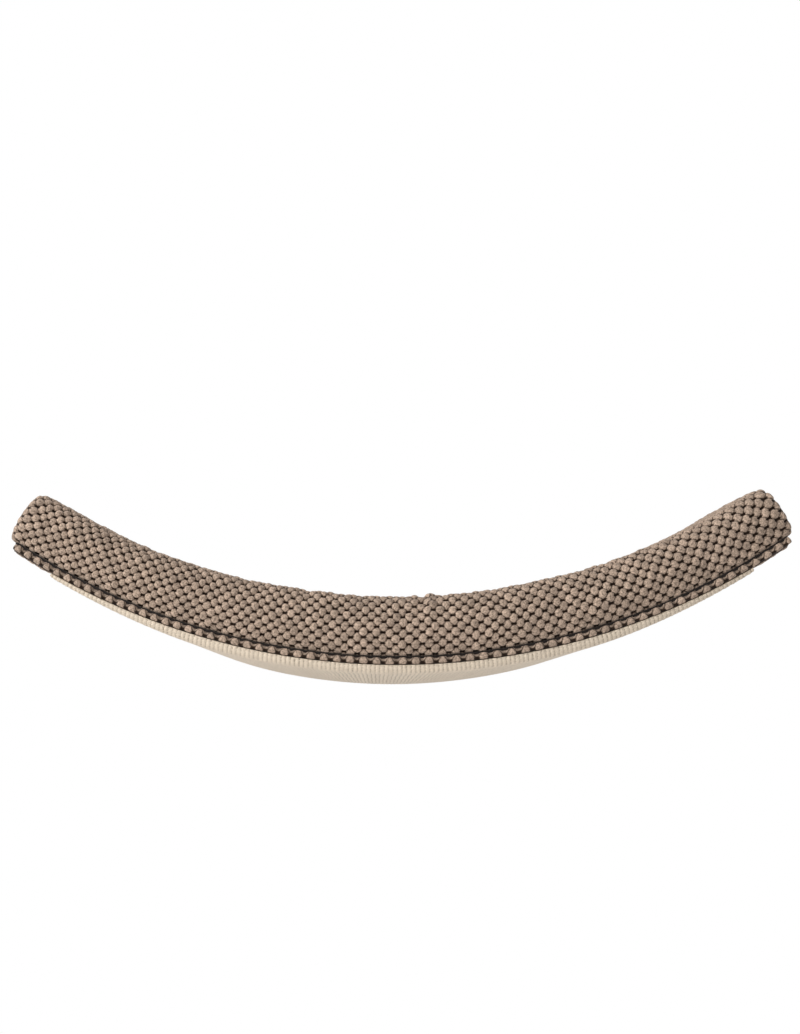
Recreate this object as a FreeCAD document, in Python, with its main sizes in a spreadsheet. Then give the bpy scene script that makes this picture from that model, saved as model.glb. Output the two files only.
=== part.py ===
import FreeCAD, Part
import os
import Sketcher

# A wall shelf bent to a shallow arc: plywood board on two hidden steel brackets,
# ribbed mat on its underside, and a crowned, removable cushion lying in the arc.
# Frame: X along the wall, Y towards the wall (wall face at y = 0), Z up.
# The origin is the middle of the four wall holes. Sizes in mm and degrees.

doc = FreeCAD.newDocument("wall_shelf")
dims = doc.addObject("Spreadsheet::Sheet", "Dims")

DIMENSIONS = [
    ("arc_radius", 815, "upper face of the board, from the arc's axis"),
    ("arc_height", 757, "arc's axis above the middle of the wall holes"),
    ("board_thickness", 8, "bent plywood in the middle"),
    ("board_end_thickness", 3.4, "bent plywood at its thinned ends"),
    ("board_angle", 60, "whole arc of the board"),
    ("board_front", 391, "front edge of the board, from the wall"),
    ("board_back", 2, "back edge of the board, from the wall"),
    ("mat_thickness", 1.5, "ribbed mat under the board and round its edges"),
    ("mat_angle", 60.21, "whole arc of the mat with its turned-up ends"),
    ("mat_edge_bevel", 1.2, "bevel of the mat where it turns up"),
    ("bracket_angle", 14.8, "bracket from the middle of the arc"),
    ("bracket_width", 40, "flat steel"),
    ("bracket_thickness", 4, "flat steel"),
    ("bracket_seat", 0.3, "rise of the flat arm over the hollow of the arc"),
    ("bracket_reach", 240, "end of the arm, from the wall"),
    ("bracket_rise", 57, "top of the upstand above the arm's underside"),
    ("bracket_corner", 8, "rounding of the bracket's corners"),
    ("bend_radius", 4, "inside radius of the bend"),
    ("wall_hole_pitch", 400, "between the two brackets"),
    ("wall_hole_gap", 28, "between upper and lower holes"),
    ("wall_hole_radius", 3.25, "for 6 mm wall screws"),
    ("arm_hole_first", 60, "first arm hole, from the wall"),
    ("arm_hole_span", 150, "first to last arm hole"),
    ("arm_hole_radius", 2.75, "clearance for the machine screws"),
    ("screw_radius", 2.4, "shank"),
    ("screw_head_radius", 4.9, "countersunk head"),
    ("screw_head_height", 2.5, "countersunk head"),
    ("screw_length", 10, "with the head"),
    ("sink_clearance", 0.15, "head below the face of the arm"),
    ("socket_radius", 1.7, "hexagon socket, to its corners"),
    ("socket_depth", 1.5, "hexagon socket"),
    ("nut_flange_radius", 8.5, "tee nut"),
    ("nut_flange_thickness", 1.1, "tee nut"),
    ("nut_barrel_radius", 3.6, "tee nut"),
    ("nut_bore_radius", 2.55, "tee nut"),
    ("nut_length", 6.5, "tee nut"),
    ("nut_clearance", 0.1, "tee nut in the board"),
    ("nut_inset", 0.25, "flange of the tee nut below the board's face"),
    ("pad_angle", 5.6, "arc of a fastening pad"),
    ("pad_position", 21.5, "fastening pad from the middle of the arc"),
    ("pad_depth", 50, "fastening pad from front to back"),
    ("pad_front", 300, "middle of a front pad, from the wall"),
    ("pad_rear", 120, "middle of a rear pad, from the wall"),
    ("hook_thickness", 2, "hook pad on the board"),
    ("pad_gap", 0.3, "between hook and loop"),
    ("cushion_middle", 208, "mid-depth of the cushion, from the wall"),
    ("half_depth", 184, "half the depth of the cushion at its seam"),
    ("seam_height", 8, "seam above the board"),
    ("base_lift", 0.3, "underside of the cushion above the board"),
    ("base_lip_reach", 2.5, "soft lip of the base under the seam"),
    ("base_lip_slope", 2.2, "height of the lip's sloping faces"),
    ("base_back", 21.9, "back edge of the base, from the wall"),
    ("base_edge_radius", 2.5, "rounding of the base's ends"),
    ("recess_height", 4.8, "hollow under the base for brackets and pads"),
    ("recess_angle", 55, "whole arc of the hollow"),
    ("recess_front", 377, "front of the hollow, from the wall"),
    ("side_bulge", 10, "swell of the sides beyond the seam"),
    ("side_radius", 60, "profile of the sides"),
    ("shoulder_radius", 22, "profile of the shoulders"),
    ("crown_radius", 3000, "profile of the top"),
    ("crown_middle", 78, "top above the seam in the middle"),
    ("crown_end", 70.5, "top above the seam at the ends"),
    ("seam_end_angle", 33.6, "end of the seam from the middle of the arc"),
    ("lip_angle", 34.1, "section where the end swells past the seam"),
    ("lip_rise", 3, "its lower edge above the seam"),
    ("lip_drop", 1, "its top below the top at the seam's end"),
    ("lip_inset", 1, "its sides drawn in"),
    ("cap_angle", 34.6, "flat end of the cushion"),
    ("cap_rise", 10, "its lower edge above the seam"),
    ("cap_drop", 5.5, "its top below the top at the seam's end"),
    ("cap_inset", 5.5, "its sides drawn in"),
    ("skin", 3, "cover with its pile"),
    ("skin_angle", 0.21, "the cover's thickness at the ends, as an angle"),
    ("foam_half_depth", 178, "half the depth of the foam core"),
    ("foam_angle", 66.4, "whole arc of the foam core"),
    ("room_angle", 66.44, "whole arc of the hollow for the foam in the wrap"),
    ("fill_gap", 0.2, "between filling and cover"),
    ("fill_angle", 0.231, "the same with the cover at the ends, as an angle"),
    ("foam_height", 32, "foam core above the seam"),
    ("welt_radius", 1.2, "cord in the seam"),
    ("welt_offset", 1.9, "cord in front of the seam"),
    ("welt_rise", 0.5, "cord above the seam in front"),
    ("welt_end_offset", 1.4, "cord beyond the seam's end"),
    ("welt_end_drop", 0.9, "cord below the seam at the ends"),
    ("zip_angle", 52, "whole arc of the zip"),
    ("tape_stand", 2.2, "tapes behind the seam"),
    ("tape_thickness", 0.8, "zip tape"),
    ("tape_width", 2.9, "zip tape that shows"),
    ("tape_reach", 3.4, "outer edge of a tape from the seam"),
    ("coil_width", 3.6, "zip coil"),
    ("coil_thickness", 1.6, "zip coil"),
    ("stop_angle", 0.24, "arc of an end stop"),
    ("stop_height", 2.2, "end stop over the tapes"),
    ("slider_angle", 25.4, "closed zip's slider from the middle of the arc"),
    ("slider_length", 10, "along the zip"),
    ("slider_width", 7.6, "across the zip"),
    ("slider_height", 4, "over the tapes"),
    ("slider_gap", 0.3, "slider round the coil"),
    ("slider_round", 1.2, "rounding of the slider's corners"),
    ("bridge_length", 6, "bail on the slider"),
    ("bridge_height", 3.7, "bail on the slider"),
    ("bridge_width", 2, "bail on the slider"),
    ("bridge_wall", 1.4, "thickness of the bail"),
    ("pivot_height", 1.2, "pull's pivot above the slider"),
    ("pull_length", 20, "from its pivot"),
    ("pull_width", 5, "zip pull"),
    ("pull_thickness", 1.2, "zip pull"),
    ("pull_eye", 0.75, "radius of the round bar inside the bail"),
    ("pull_window_end", 4.4, "far edge of the window, from the pivot"),
    ("pull_window_width", 3, "window round the bail"),
    ("pull_round", 1.8, "rounding of the pull's free end"),
    ("cut_over", 5, "cuts run past the faces by this"),
]

for row, (alias, size, note) in enumerate(DIMENSIONS, start=1):
    dims.set("A%d" % row, alias)
    dims.set("B%d" % row, str(size))
    dims.set("C%d" % row, note)
    dims.setAlias("B%d" % row, alias)
doc.recompute()

SEAM = "(Dims.arc_radius - Dims.seam_height)"
FRONT_SEAM = "(-Dims.cushion_middle - Dims.half_depth)"
BACK_SEAM = "(-Dims.cushion_middle + Dims.half_depth)"
TAPE_FACE = "(" + BACK_SEAM + " + Dims.tape_stand + Dims.tape_thickness)"
ARM_UNDER = "(Dims.arc_radius - Dims.bracket_seat)"
ARM_TOP = "(" + ARM_UNDER + " - Dims.bracket_thickness)"
CLEAR_OF_ALL = "(Dims.arc_radius + Dims.board_thickness + Dims.mat_thickness + Dims.cut_over)"
ORIGIN = -1
HORIZONTAL_AXIS = -1
UPRIGHT_AXIS = -2
START, END, CENTRE = 1, 2, 3
FULL_TURN = 360
HEX_SIDES = 6
SLACK = 0.05
NEAR_ZERO = 1e-9


def value(text):
    result = dims.evalExpression(text)
    return float(getattr(result, "Value", result))


def new_body(label, turn=None):
    # every body has its origin on the arc's axis; turn leans it along the arc
    body = doc.addObject("PartDesign::Body", label)
    body.Label = label
    angle = value(turn) if turn else 0
    leaning = FreeCAD.Rotation(FreeCAD.Vector(0, 1, 0), angle)
    body.Placement = FreeCAD.Placement(FreeCAD.Vector(0, 0, value("Dims.arc_height")), leaning)
    body.setExpression(".Placement.Base.z", "Dims.arc_height")
    if turn:
        body.setExpression(".Placement.Rotation.Angle", turn)
    return body


def origin_part(body, role):
    for feature in body.Origin.OriginFeatures:
        if feature.Role == role:
            return feature
    raise ValueError(role)


def new_sketch(body, plane, name, turn=None, turn_axis=(1, 0, 0), shift=None):
    sketch = body.newObject("Sketcher::SketchObject", body.Label + "_" + name)
    sketch.AttachmentSupport = [(origin_part(body, plane), "")]
    sketch.MapMode = "FlatFace"
    base = [0.0, 0.0, 0.0]
    for index, text in enumerate(shift or []):
        base[index] = value(text)
    angle = value(turn) if turn else 0
    rotation = FreeCAD.Rotation(FreeCAD.Vector(*turn_axis), angle)
    sketch.AttachmentOffset = FreeCAD.Placement(FreeCAD.Vector(*base), rotation)
    for letter, text in zip("xyz", shift or []):
        sketch.setExpression(".AttachmentOffset.Base." + letter, text)
    if turn:
        sketch.setExpression(".AttachmentOffset.Rotation.Angle", turn)
    return sketch


def drive(sketch, constraint, name, text):
    number = sketch.addConstraint(constraint)
    sketch.renameConstraint(number, name)
    sketch.setExpression("Constraints." + name, text)


def pin(sketch, direction, edge, end, text):
    # holds one coordinate of a point to an expression
    size = value(text)
    name = "%s_%d_%d" % (direction.lower(), edge, end)
    if abs(size) < NEAR_ZERO:
        axis = UPRIGHT_AXIS if direction == "DistanceX" else HORIZONTAL_AXIS
        sketch.addConstraint(Sketcher.Constraint("PointOnObject", edge, end, axis))
    elif size < 0:
        held = Sketcher.Constraint(direction, edge, end, ORIGIN, START, -size)
        drive(sketch, held, name, "-(" + text + ")")
    else:
        held = Sketcher.Constraint(direction, ORIGIN, START, edge, end, size)
        drive(sketch, held, name, text)


def circle_arc(start, end, radius, left):
    # arc under a half circle; its centre lies left or right of the way from start to end
    middle = (start + end) * 0.5
    along = end - start
    side = FreeCAD.Vector(-along.y, along.x, 0)
    side.normalize()
    reach = max(radius ** 2 - (along.Length / 2) ** 2, 0) ** 0.5
    centre = middle + side * (reach if left else -reach)
    first, last = (start, end) if left else (end, start)
    circle = Part.Circle(centre, FreeCAD.Vector(0, 0, 1), radius)
    return Part.ArcOfCircle(circle, circle.parameter(first), circle.parameter(last))


def outline(sketch, corners, arcs=None):
    # closed outline whose corners are driven by expressions; arcs maps an edge to (radius, left)
    arcs = arcs or {}
    points = [FreeCAD.Vector(value(x), value(y), 0) for x, y in corners]
    ends = []
    first = sketch.GeometryCount
    for number, start in enumerate(points):
        end = points[(number + 1) % len(points)]
        if number in arcs:
            radius, left = arcs[number]
            edge = sketch.addGeometry(circle_arc(start, end, value(radius), left), False)
            drive(sketch, Sketcher.Constraint("Radius", edge, value(radius)), "radius_%d" % edge, radius)
            ends.append((START, END) if left else (END, START))
        else:
            sketch.addGeometry(Part.LineSegment(start, end), False)
            ends.append((START, END))
    for number in range(len(points)):
        after = (number + 1) % len(points)
        link = (first + number, ends[number][1], first + after, ends[after][0])
        sketch.addConstraint(Sketcher.Constraint("Coincident", *link))
    for number, (x, y) in enumerate(corners):
        pin(sketch, "DistanceX", first + number, ends[number][0], x)
        pin(sketch, "DistanceY", first + number, ends[number][0], y)


def block(sketch, x_low, x_high, y_low, y_high):
    outline(sketch, [(x_low, y_low), (x_high, y_low), (x_high, y_high), (x_low, y_high)])


def ring(sketch, x_text, y_text, radius):
    centre = FreeCAD.Vector(value(x_text), value(y_text), 0)
    edge = sketch.addGeometry(Part.Circle(centre, FreeCAD.Vector(0, 0, 1), value(radius)), False)
    drive(sketch, Sketcher.Constraint("Radius", edge, value(radius)), "radius_%d" % edge, radius)
    pin(sketch, "DistanceX", edge, CENTRE, x_text)
    pin(sketch, "DistanceY", edge, CENTRE, y_text)


def hexagon(sketch, x_text, y_text, radius):
    corners = []
    for number in range(HEX_SIDES):
        bearing = (number + 0.5) * FULL_TURN / HEX_SIDES
        x_corner = "(%s) + %s * cos(%d)" % (x_text, radius, bearing)
        y_corner = "(%s) + %s * sin(%d)" % (y_text, radius, bearing)
        corners.append((x_corner, y_corner))
    outline(sketch, corners)


def turned(body, kind, sketch, angle):
    # a profile swung equally to both sides of its own plane
    feature = body.newObject("PartDesign::" + kind, sketch.Name + "_swing")
    feature.Profile = sketch
    feature.ReferenceAxis = (sketch, ["H_Axis"])
    feature.Midplane = True
    feature.Angle = value(angle)
    feature.setExpression("Angle", angle)
    return feature


def spun(body, kind, sketch):
    # a profile turned all the way round its own upright axis
    feature = body.newObject("PartDesign::" + kind, sketch.Name + "_spin")
    feature.Profile = sketch
    feature.ReferenceAxis = (sketch, ["V_Axis"])
    feature.Angle = FULL_TURN
    return feature


def raised(body, kind, sketch, length, midplane=True):
    feature = body.newObject("PartDesign::" + kind, sketch.Name + "_rise")
    feature.Profile = sketch
    feature.Midplane = midplane
    feature.Length = value(length)
    feature.setExpression("Length", length)
    return feature


def dressed(body, base, kind, size, wanted):
    # a fillet or chamfer on the wanted edges
    doc.recompute()
    names = []
    for number, edge in enumerate(base.Shape.Edges, start=1):
        if wanted(edge):
            names.append("Edge%d" % number)
    dressing = body.newObject("PartDesign::" + kind, body.Label + "_dressing")
    dressing.Base = (base, names)
    measure = "Radius" if kind == "Fillet" else "Size"
    setattr(dressing, measure, value(size))
    dressing.setExpression(measure, size)
    body.Tip = dressing
    return dressing


def repeated(body, features, span, count):
    # copies from the wall outwards
    pattern = body.newObject("PartDesign::LinearPattern", body.Label + "_row")
    pattern.Originals = features
    pattern.Direction = (origin_part(body, "Y_Axis"), [""])
    pattern.Reversed = True
    pattern.Length = value(span)
    pattern.setExpression("Length", span)
    pattern.Occurrences = count
    body.Tip = pattern
    return pattern


def arc_block(label, y_low, y_high, r_low, r_high, angle, position=None):
    # a block bent to the arc, between two radii and two distances from the wall
    body = new_body(label)
    sketch = new_sketch(body, "YZ_Plane", "profile", turn=position)
    block(sketch, y_low, y_high, "-" + r_high, "-" + r_low)
    swing = turned(body, "Revolution", sketch, angle)
    return body, swing


def under_radius(angle, end, middle):
    # radius of an arc through the middle radius and, at both ends of the angle, the end radius
    chord = "(" + end + " * sin(" + angle + " / 2))"
    sag = "(" + middle + " - " + end + " * cos(" + angle + " / 2))"
    return "((" + chord + " ^ 2 + " + sag + " ^ 2) / (2 * " + sag + "))"


def crescent(body, kind, name, angle, radii, y_high, depth):
    # an arc block thinned towards its ends; radii are those of the top, the ends and the middle
    top, end, middle = radii
    sketch = new_sketch(body, "XZ_Plane", name, shift=["0", "0", "-" + y_high])
    corners = []
    for radius, sign in ((top, "-"), (top, ""), (end, ""), (end, "-")):
        across = sign + radius + " * sin(" + angle + " / 2)"
        corners.append((across, "-" + radius + " * cos(" + angle + " / 2)"))
    outline(sketch, corners, {0: (top, True), 2: (under_radius(angle, end, middle), False)})
    return raised(body, kind, sketch, depth, midplane=False)


SCREWS_PER_ARM = 2
SIDES = (("left", "Dims.bracket_angle"), ("right", "-Dims.bracket_angle"))

# plywood board, thinned towards its ends, with stepped bores for the tee nuts
BOARD_UNDER = "(Dims.arc_radius + Dims.board_thickness)"
BOARD_END = "(Dims.arc_radius + Dims.board_end_thickness)"
board = new_body("plywood_board")
crescent(
    board, "Pad", "profile", "Dims.board_angle", ("Dims.arc_radius", BOARD_END, BOARD_UNDER),
    "(-Dims.board_back)", "(Dims.board_front - Dims.board_back)",
)
UNDER_RADIUS = under_radius("Dims.board_angle", BOARD_END, BOARD_UNDER)
UNDER_SHIFT = "(" + BOARD_UNDER + " - " + UNDER_RADIUS + ")"
NUT_FACE = "(" + UNDER_SHIFT + " * cos(Dims.bracket_angle) + sqrt(" + UNDER_RADIUS + " ^ 2"
NUT_FACE += " - (" + UNDER_SHIFT + " * sin(Dims.bracket_angle)) ^ 2))"
NUT_UNDER = "(" + NUT_FACE + " - Dims.nut_inset)"
NUT_SEAT = "(" + NUT_UNDER + " - Dims.nut_flange_thickness - Dims.nut_clearance)"
for side, lean in SIDES:
    bore = new_sketch(
        board, "YZ_Plane", side + "_bore", turn=lean, shift=["-Dims.arm_hole_first"],
    )
    flange_r = "(Dims.nut_flange_radius + Dims.nut_clearance)"
    barrel_r = "(Dims.nut_barrel_radius + Dims.nut_clearance)"
    outline(bore, [
        ("0", "-" + CLEAR_OF_ALL),
        (flange_r, "-" + CLEAR_OF_ALL),
        (flange_r, "-" + NUT_SEAT),
        (barrel_r, "-" + NUT_SEAT),
        (barrel_r, "-(Dims.arc_radius - Dims.cut_over)"),
        ("0", "-(Dims.arc_radius - Dims.cut_over)"),
    ])
    repeated(board, [spun(board, "Groove", bore)], "Dims.arm_hole_span", SCREWS_PER_ARM)

# ribbed mat: underside, front edge and ends, trimmed flush with the board's upper face
MAT_UNDER = "(" + BOARD_UNDER + " + Dims.mat_thickness)"
MAT_FRONT = "(-Dims.board_front - Dims.mat_thickness)"
mat = new_body("underside_mat")
mat_slab = crescent(
    mat, "Pad", "profile", "Dims.mat_angle",
    ("Dims.arc_radius", "(" + BOARD_END + " + Dims.mat_thickness)", MAT_UNDER),
    "(-Dims.board_back)", "(Dims.board_front + Dims.mat_thickness - Dims.board_back)",
)
mat_front = value(MAT_FRONT)
mat_low = -value(MAT_UNDER)


def mat_front_edge(edge):
    # the long lower edge in front
    in_front = all(abs(vertex.Point.y - mat_front) < SLACK for vertex in edge.Vertexes)
    return in_front and abs(edge.BoundBox.ZMin - mat_low) < SLACK


dressed(mat, mat_slab, "Chamfer", "Dims.mat_edge_bevel", mat_front_edge)
crescent(
    mat, "Pocket", "room", "Dims.board_angle",
    ("(Dims.arc_radius - Dims.cut_over)", BOARD_END, BOARD_UNDER), "0", "Dims.board_front",
).Reversed = True

# steel brackets, their countersunk screws and the tee nuts under the board
HEAD_TOP = "(" + ARM_TOP + " + Dims.sink_clearance)"
half_width = value("Dims.bracket_width") / 2
thickness = value("Dims.bracket_thickness")


def bracket_end(edge):
    # the short corner edges of the flat bar
    ends = [vertex.Point for vertex in edge.Vertexes]
    on_side = all(abs(abs(point.x) - half_width) < SLACK for point in ends)
    return on_side and abs(edge.Length - thickness) < SLACK


for side, lean in SIDES:
    bracket = new_body("bracket_" + side, turn=lean)
    angle_iron = new_sketch(bracket, "YZ_Plane", "angle")
    outer_bend = "(Dims.bend_radius + Dims.bracket_thickness)"
    outline(angle_iron, [
        ("-Dims.bracket_reach", "-" + ARM_UNDER),
        ("-" + outer_bend, "-" + ARM_UNDER),
        ("0", "-" + ARM_UNDER + " + " + outer_bend),
        ("0", "-" + ARM_UNDER + " + Dims.bracket_rise"),
        ("-Dims.bracket_thickness", "-" + ARM_UNDER + " + Dims.bracket_rise"),
        ("-Dims.bracket_thickness", "-" + ARM_TOP + " + Dims.bend_radius"),
        ("-Dims.bracket_thickness - Dims.bend_radius", "-" + ARM_TOP),
        ("-Dims.bracket_reach", "-" + ARM_TOP),
    ], {1: (outer_bend, True), 5: ("Dims.bend_radius", False)})
    bar = raised(bracket, "Pad", angle_iron, "Dims.bracket_width")
    dressed(bracket, bar, "Fillet", "Dims.bracket_corner", bracket_end)
    sign = "-" if side == "left" else ""
    wall_holes = new_sketch(bracket, "XZ_Plane", "wall_holes", turn=lean, turn_axis=(0, 0, 1))
    for half in ("+", "-"):
        hole_z = "-Dims.arc_height " + half + " Dims.wall_hole_gap / 2"
        ring(wall_holes, sign + "Dims.wall_hole_pitch / 2", hole_z, "Dims.wall_hole_radius")
    raised(bracket, "Pocket", wall_holes, "2 * (Dims.bracket_thickness + Dims.cut_over)")
    sink = new_sketch(bracket, "YZ_Plane", "sink", shift=["-Dims.arm_hole_first"])
    head_r = "(Dims.screw_head_radius + Dims.sink_clearance)"
    cone = "(" + head_r + " - Dims.arm_hole_radius)"
    outline(sink, [
        ("0", "-" + CLEAR_OF_ALL),
        ("Dims.arm_hole_radius", "-" + CLEAR_OF_ALL),
        ("Dims.arm_hole_radius", "-" + ARM_TOP + " - " + cone),
        (head_r, "-" + ARM_TOP),
        (head_r, "-" + ARM_TOP + " + Dims.cut_over"),
        ("0", "-" + ARM_TOP + " + Dims.cut_over"),
    ])
    repeated(bracket, [spun(bracket, "Groove", sink)], "Dims.arm_hole_span", SCREWS_PER_ARM)

    screws = new_body("bracket_screws_" + side, turn=lean)
    screws.AllowCompound = True
    shank = new_sketch(screws, "YZ_Plane", "shank", shift=["-Dims.arm_hole_first"])
    outline(shank, [
        ("0", "-" + HEAD_TOP + " - Dims.screw_length"),
        ("Dims.screw_radius", "-" + HEAD_TOP + " - Dims.screw_length"),
        ("Dims.screw_radius", "-" + HEAD_TOP + " - Dims.screw_head_height"),
        ("Dims.screw_head_radius", "-" + HEAD_TOP),
        ("0", "-" + HEAD_TOP),
    ])
    screw = spun(screws, "Revolution", shank)
    socket = new_sketch(
        screws, "XY_Plane", "socket", shift=["0", "-Dims.arm_hole_first", "-" + HEAD_TOP],
    )
    hexagon(socket, "0", "0", "Dims.socket_radius")
    recess = raised(screws, "Pocket", socket, "Dims.socket_depth", midplane=False)
    repeated(screws, [screw, recess], "Dims.arm_hole_span", SCREWS_PER_ARM)

    nuts = new_body("tee_nuts_" + side, turn=lean)
    nuts.AllowCompound = True
    barrel = new_sketch(nuts, "YZ_Plane", "barrel", shift=["-Dims.arm_hole_first"])
    outline(barrel, [
        ("Dims.nut_bore_radius", "-" + NUT_UNDER),
        ("Dims.nut_flange_radius", "-" + NUT_UNDER),
        ("Dims.nut_flange_radius", "-" + NUT_UNDER + " + Dims.nut_flange_thickness"),
        ("Dims.nut_barrel_radius", "-" + NUT_UNDER + " + Dims.nut_flange_thickness"),
        ("Dims.nut_barrel_radius", "-" + NUT_UNDER + " + Dims.nut_length"),
        ("Dims.nut_bore_radius", "-" + NUT_UNDER + " + Dims.nut_length"),
    ])
    repeated(nuts, [spun(nuts, "Revolution", barrel)], "Dims.arm_hole_span", SCREWS_PER_ARM)

# hook pads on the board and loop pads on the cushion's base, in facing pairs
HOOK_FACE = "(Dims.arc_radius - Dims.hook_thickness)"
LOOP_FACE = "(" + HOOK_FACE + " - Dims.pad_gap)"
RECESS_ROOF = "(Dims.arc_radius - Dims.recess_height)"
for row_name, from_wall in (("front", "Dims.pad_front"), ("rear", "Dims.pad_rear")):
    for side, sign in (("left", ""), ("right", "-")):
        y_low = "(-" + from_wall + " - Dims.pad_depth / 2)"
        y_high = "(-" + from_wall + " + Dims.pad_depth / 2)"
        place = sign + "Dims.pad_position"
        name = row_name + "_" + side
        arc_block("hook_pad_" + name, y_low, y_high, HOOK_FACE, "Dims.arc_radius", "Dims.pad_angle", place)
        arc_block("loop_pad_" + name, y_low, y_high, RECESS_ROOF, LOOP_FACE, "Dims.pad_angle", place)

# sections of the cushion from the middle outwards: angle, top, lower edge and sides
STEPS = 8
MAIN = []
for step in range(STEPS + 1):
    turn = "(Dims.seam_end_angle * %d / %d)" % (step, STEPS)
    fall = "(Dims.crown_middle - Dims.crown_end) * (" + turn + " / Dims.seam_end_angle) ^ 2"
    MAIN.append((turn, "(Dims.crown_middle - " + fall + ")", None, "0"))
LIP = ("Dims.lip_angle", "(Dims.crown_end - Dims.lip_drop)", "Dims.lip_rise", "Dims.lip_inset")
CAP = ("Dims.cap_angle", "(Dims.crown_end - Dims.cap_drop)", "Dims.cap_rise", "Dims.cap_inset")
OUTSIDE = MAIN + [LIP, CAP]
INSIDE = MAIN + [CAP]


def cushion_section(sketch, top, rise, inset, shrink, below):
    # flat lower edge, swelling sides, round shoulders and a crowned top, all arcs tangent;
    # shrink moves the whole section inwards, below is how far the lower edge runs past the seam
    swell = "sqrt(2 * Dims.side_radius * Dims.side_bulge - Dims.side_bulge ^ 2)"
    lift = rise if rise else "0"
    base_y = "-" + SEAM + " + " + ("(" + rise + " + " + shrink + ")" if rise else "-" + below)
    side_x = "(Dims.half_depth - " + inset + " + Dims.side_bulge - Dims.side_radius)"
    side_y = "-" + SEAM + " + " + lift + " + " + swell
    crown_y = "-" + SEAM + " + " + top + " - Dims.crown_radius"
    side_r = "(Dims.side_radius - " + shrink + ")"
    shoulder_r = "(Dims.shoulder_radius - " + shrink + ")"
    crown_r = "(Dims.crown_radius - " + shrink + ")"
    side_centre = FreeCAD.Vector(value(side_x), value(side_y), 0)
    crown_centre = FreeCAD.Vector(0, value(crown_y), 0)
    near, far = value(side_r) - value(shoulder_r), value(crown_r) - value(shoulder_r)
    gap = crown_centre - side_centre
    along = (near ** 2 - far ** 2 + gap.Length ** 2) / (2 * gap.Length)
    across = (near ** 2 - along ** 2) ** 0.5
    toward = FreeCAD.Vector(gap).normalize()
    outward = FreeCAD.Vector(-toward.y, toward.x, 0)
    shoulder_centre = side_centre + toward * along + outward * across
    if shoulder_centre.x < side_centre.x + toward.x * along:
        shoulder_centre = side_centre + toward * along - outward * across
    low = value(base_y)
    foot = FreeCAD.Vector(side_centre.x + (value(side_r) ** 2 - (low - side_centre.y) ** 2) ** 0.5, low, 0)
    reach = FreeCAD.Vector(shoulder_centre - side_centre).normalize()
    hip = side_centre + reach * value(side_r)
    lean = FreeCAD.Vector(shoulder_centre - crown_centre).normalize()
    brow = crown_centre + lean * value(crown_r)

    def flip(point):
        return FreeCAD.Vector(-point.x, point.y, 0)

    base = sketch.addGeometry(Part.LineSegment(flip(foot), foot), False)
    right_side = sketch.addGeometry(circle_arc(foot, hip, value(side_r), True), False)
    right_shoulder = sketch.addGeometry(circle_arc(hip, brow, value(shoulder_r), True), False)
    crown = sketch.addGeometry(circle_arc(brow, flip(brow), value(crown_r), True), False)
    left_shoulder = sketch.addGeometry(circle_arc(flip(brow), flip(hip), value(shoulder_r), True), False)
    left_side = sketch.addGeometry(circle_arc(flip(hip), flip(foot), value(side_r), True), False)
    sketch.addConstraint(Sketcher.Constraint("Coincident", base, END, right_side, START))
    sketch.addConstraint(Sketcher.Constraint("Coincident", left_side, END, base, START))
    chain = (right_side, right_shoulder, crown, left_shoulder, left_side)
    for before, after in zip(chain, chain[1:]):
        sketch.addConstraint(Sketcher.Constraint("Tangent", before, END, after, START))
    sketch.addConstraint(Sketcher.Constraint("Horizontal", base))
    pin(sketch, "DistanceY", base, START, base_y)
    pin(sketch, "DistanceX", right_side, CENTRE, side_x)
    pin(sketch, "DistanceX", left_side, CENTRE, "-" + side_x)
    pin(sketch, "DistanceY", right_side, CENTRE, side_y)
    pin(sketch, "DistanceY", left_side, CENTRE, side_y)
    pin(sketch, "DistanceX", crown, CENTRE, "0")
    pin(sketch, "DistanceY", crown, CENTRE, crown_y)
    radii = (("side", right_side, side_r), ("far_side", left_side, side_r), ("crown", crown, crown_r))
    radii += (("shoulder", right_shoulder, shoulder_r), ("far_shoulder", left_shoulder, shoulder_r))
    for name, edge, text in radii:
        drive(sketch, Sketcher.Constraint("Radius", edge, value(text)), name + "_radius", text)


def cushion_form(body, kind, name, stations, shrink, shrink_angle, below):
    # the cushion's outer form, or that form drawn in by shrink, lofted along the arc
    sections = []
    for sign in ("-", ""):
        places = reversed(stations[1:]) if sign else stations
        for turn, top, rise, inset in places:
            angle = sign + "(" + turn + " - " + shrink_angle + ")" if rise else sign + turn
            sketch = new_sketch(
                body, "YZ_Plane", "%s_section_%d" % (name, len(sections)),
                turn=angle if value(angle) else None, shift=["-Dims.cushion_middle"],
            )
            cushion_section(sketch, top, rise, inset, shrink, below)
            sections.append(sketch)
    loft = body.newObject("PartDesign::" + kind, name + "_loft")
    loft.Profile = sections[0]
    loft.Sections = sections[1:]
    loft.Ruled = True
    return loft


# upper cover: a crowned shell, open at its seam
cover = new_body("cover_top")
cushion_form(cover, "AdditiveLoft", "outer", OUTSIDE, "0", "0", "0")
cushion_form(cover, "SubtractiveLoft", "inner", INSIDE, "Dims.skin", "Dims.skin_angle", "Dims.cut_over")

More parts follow.
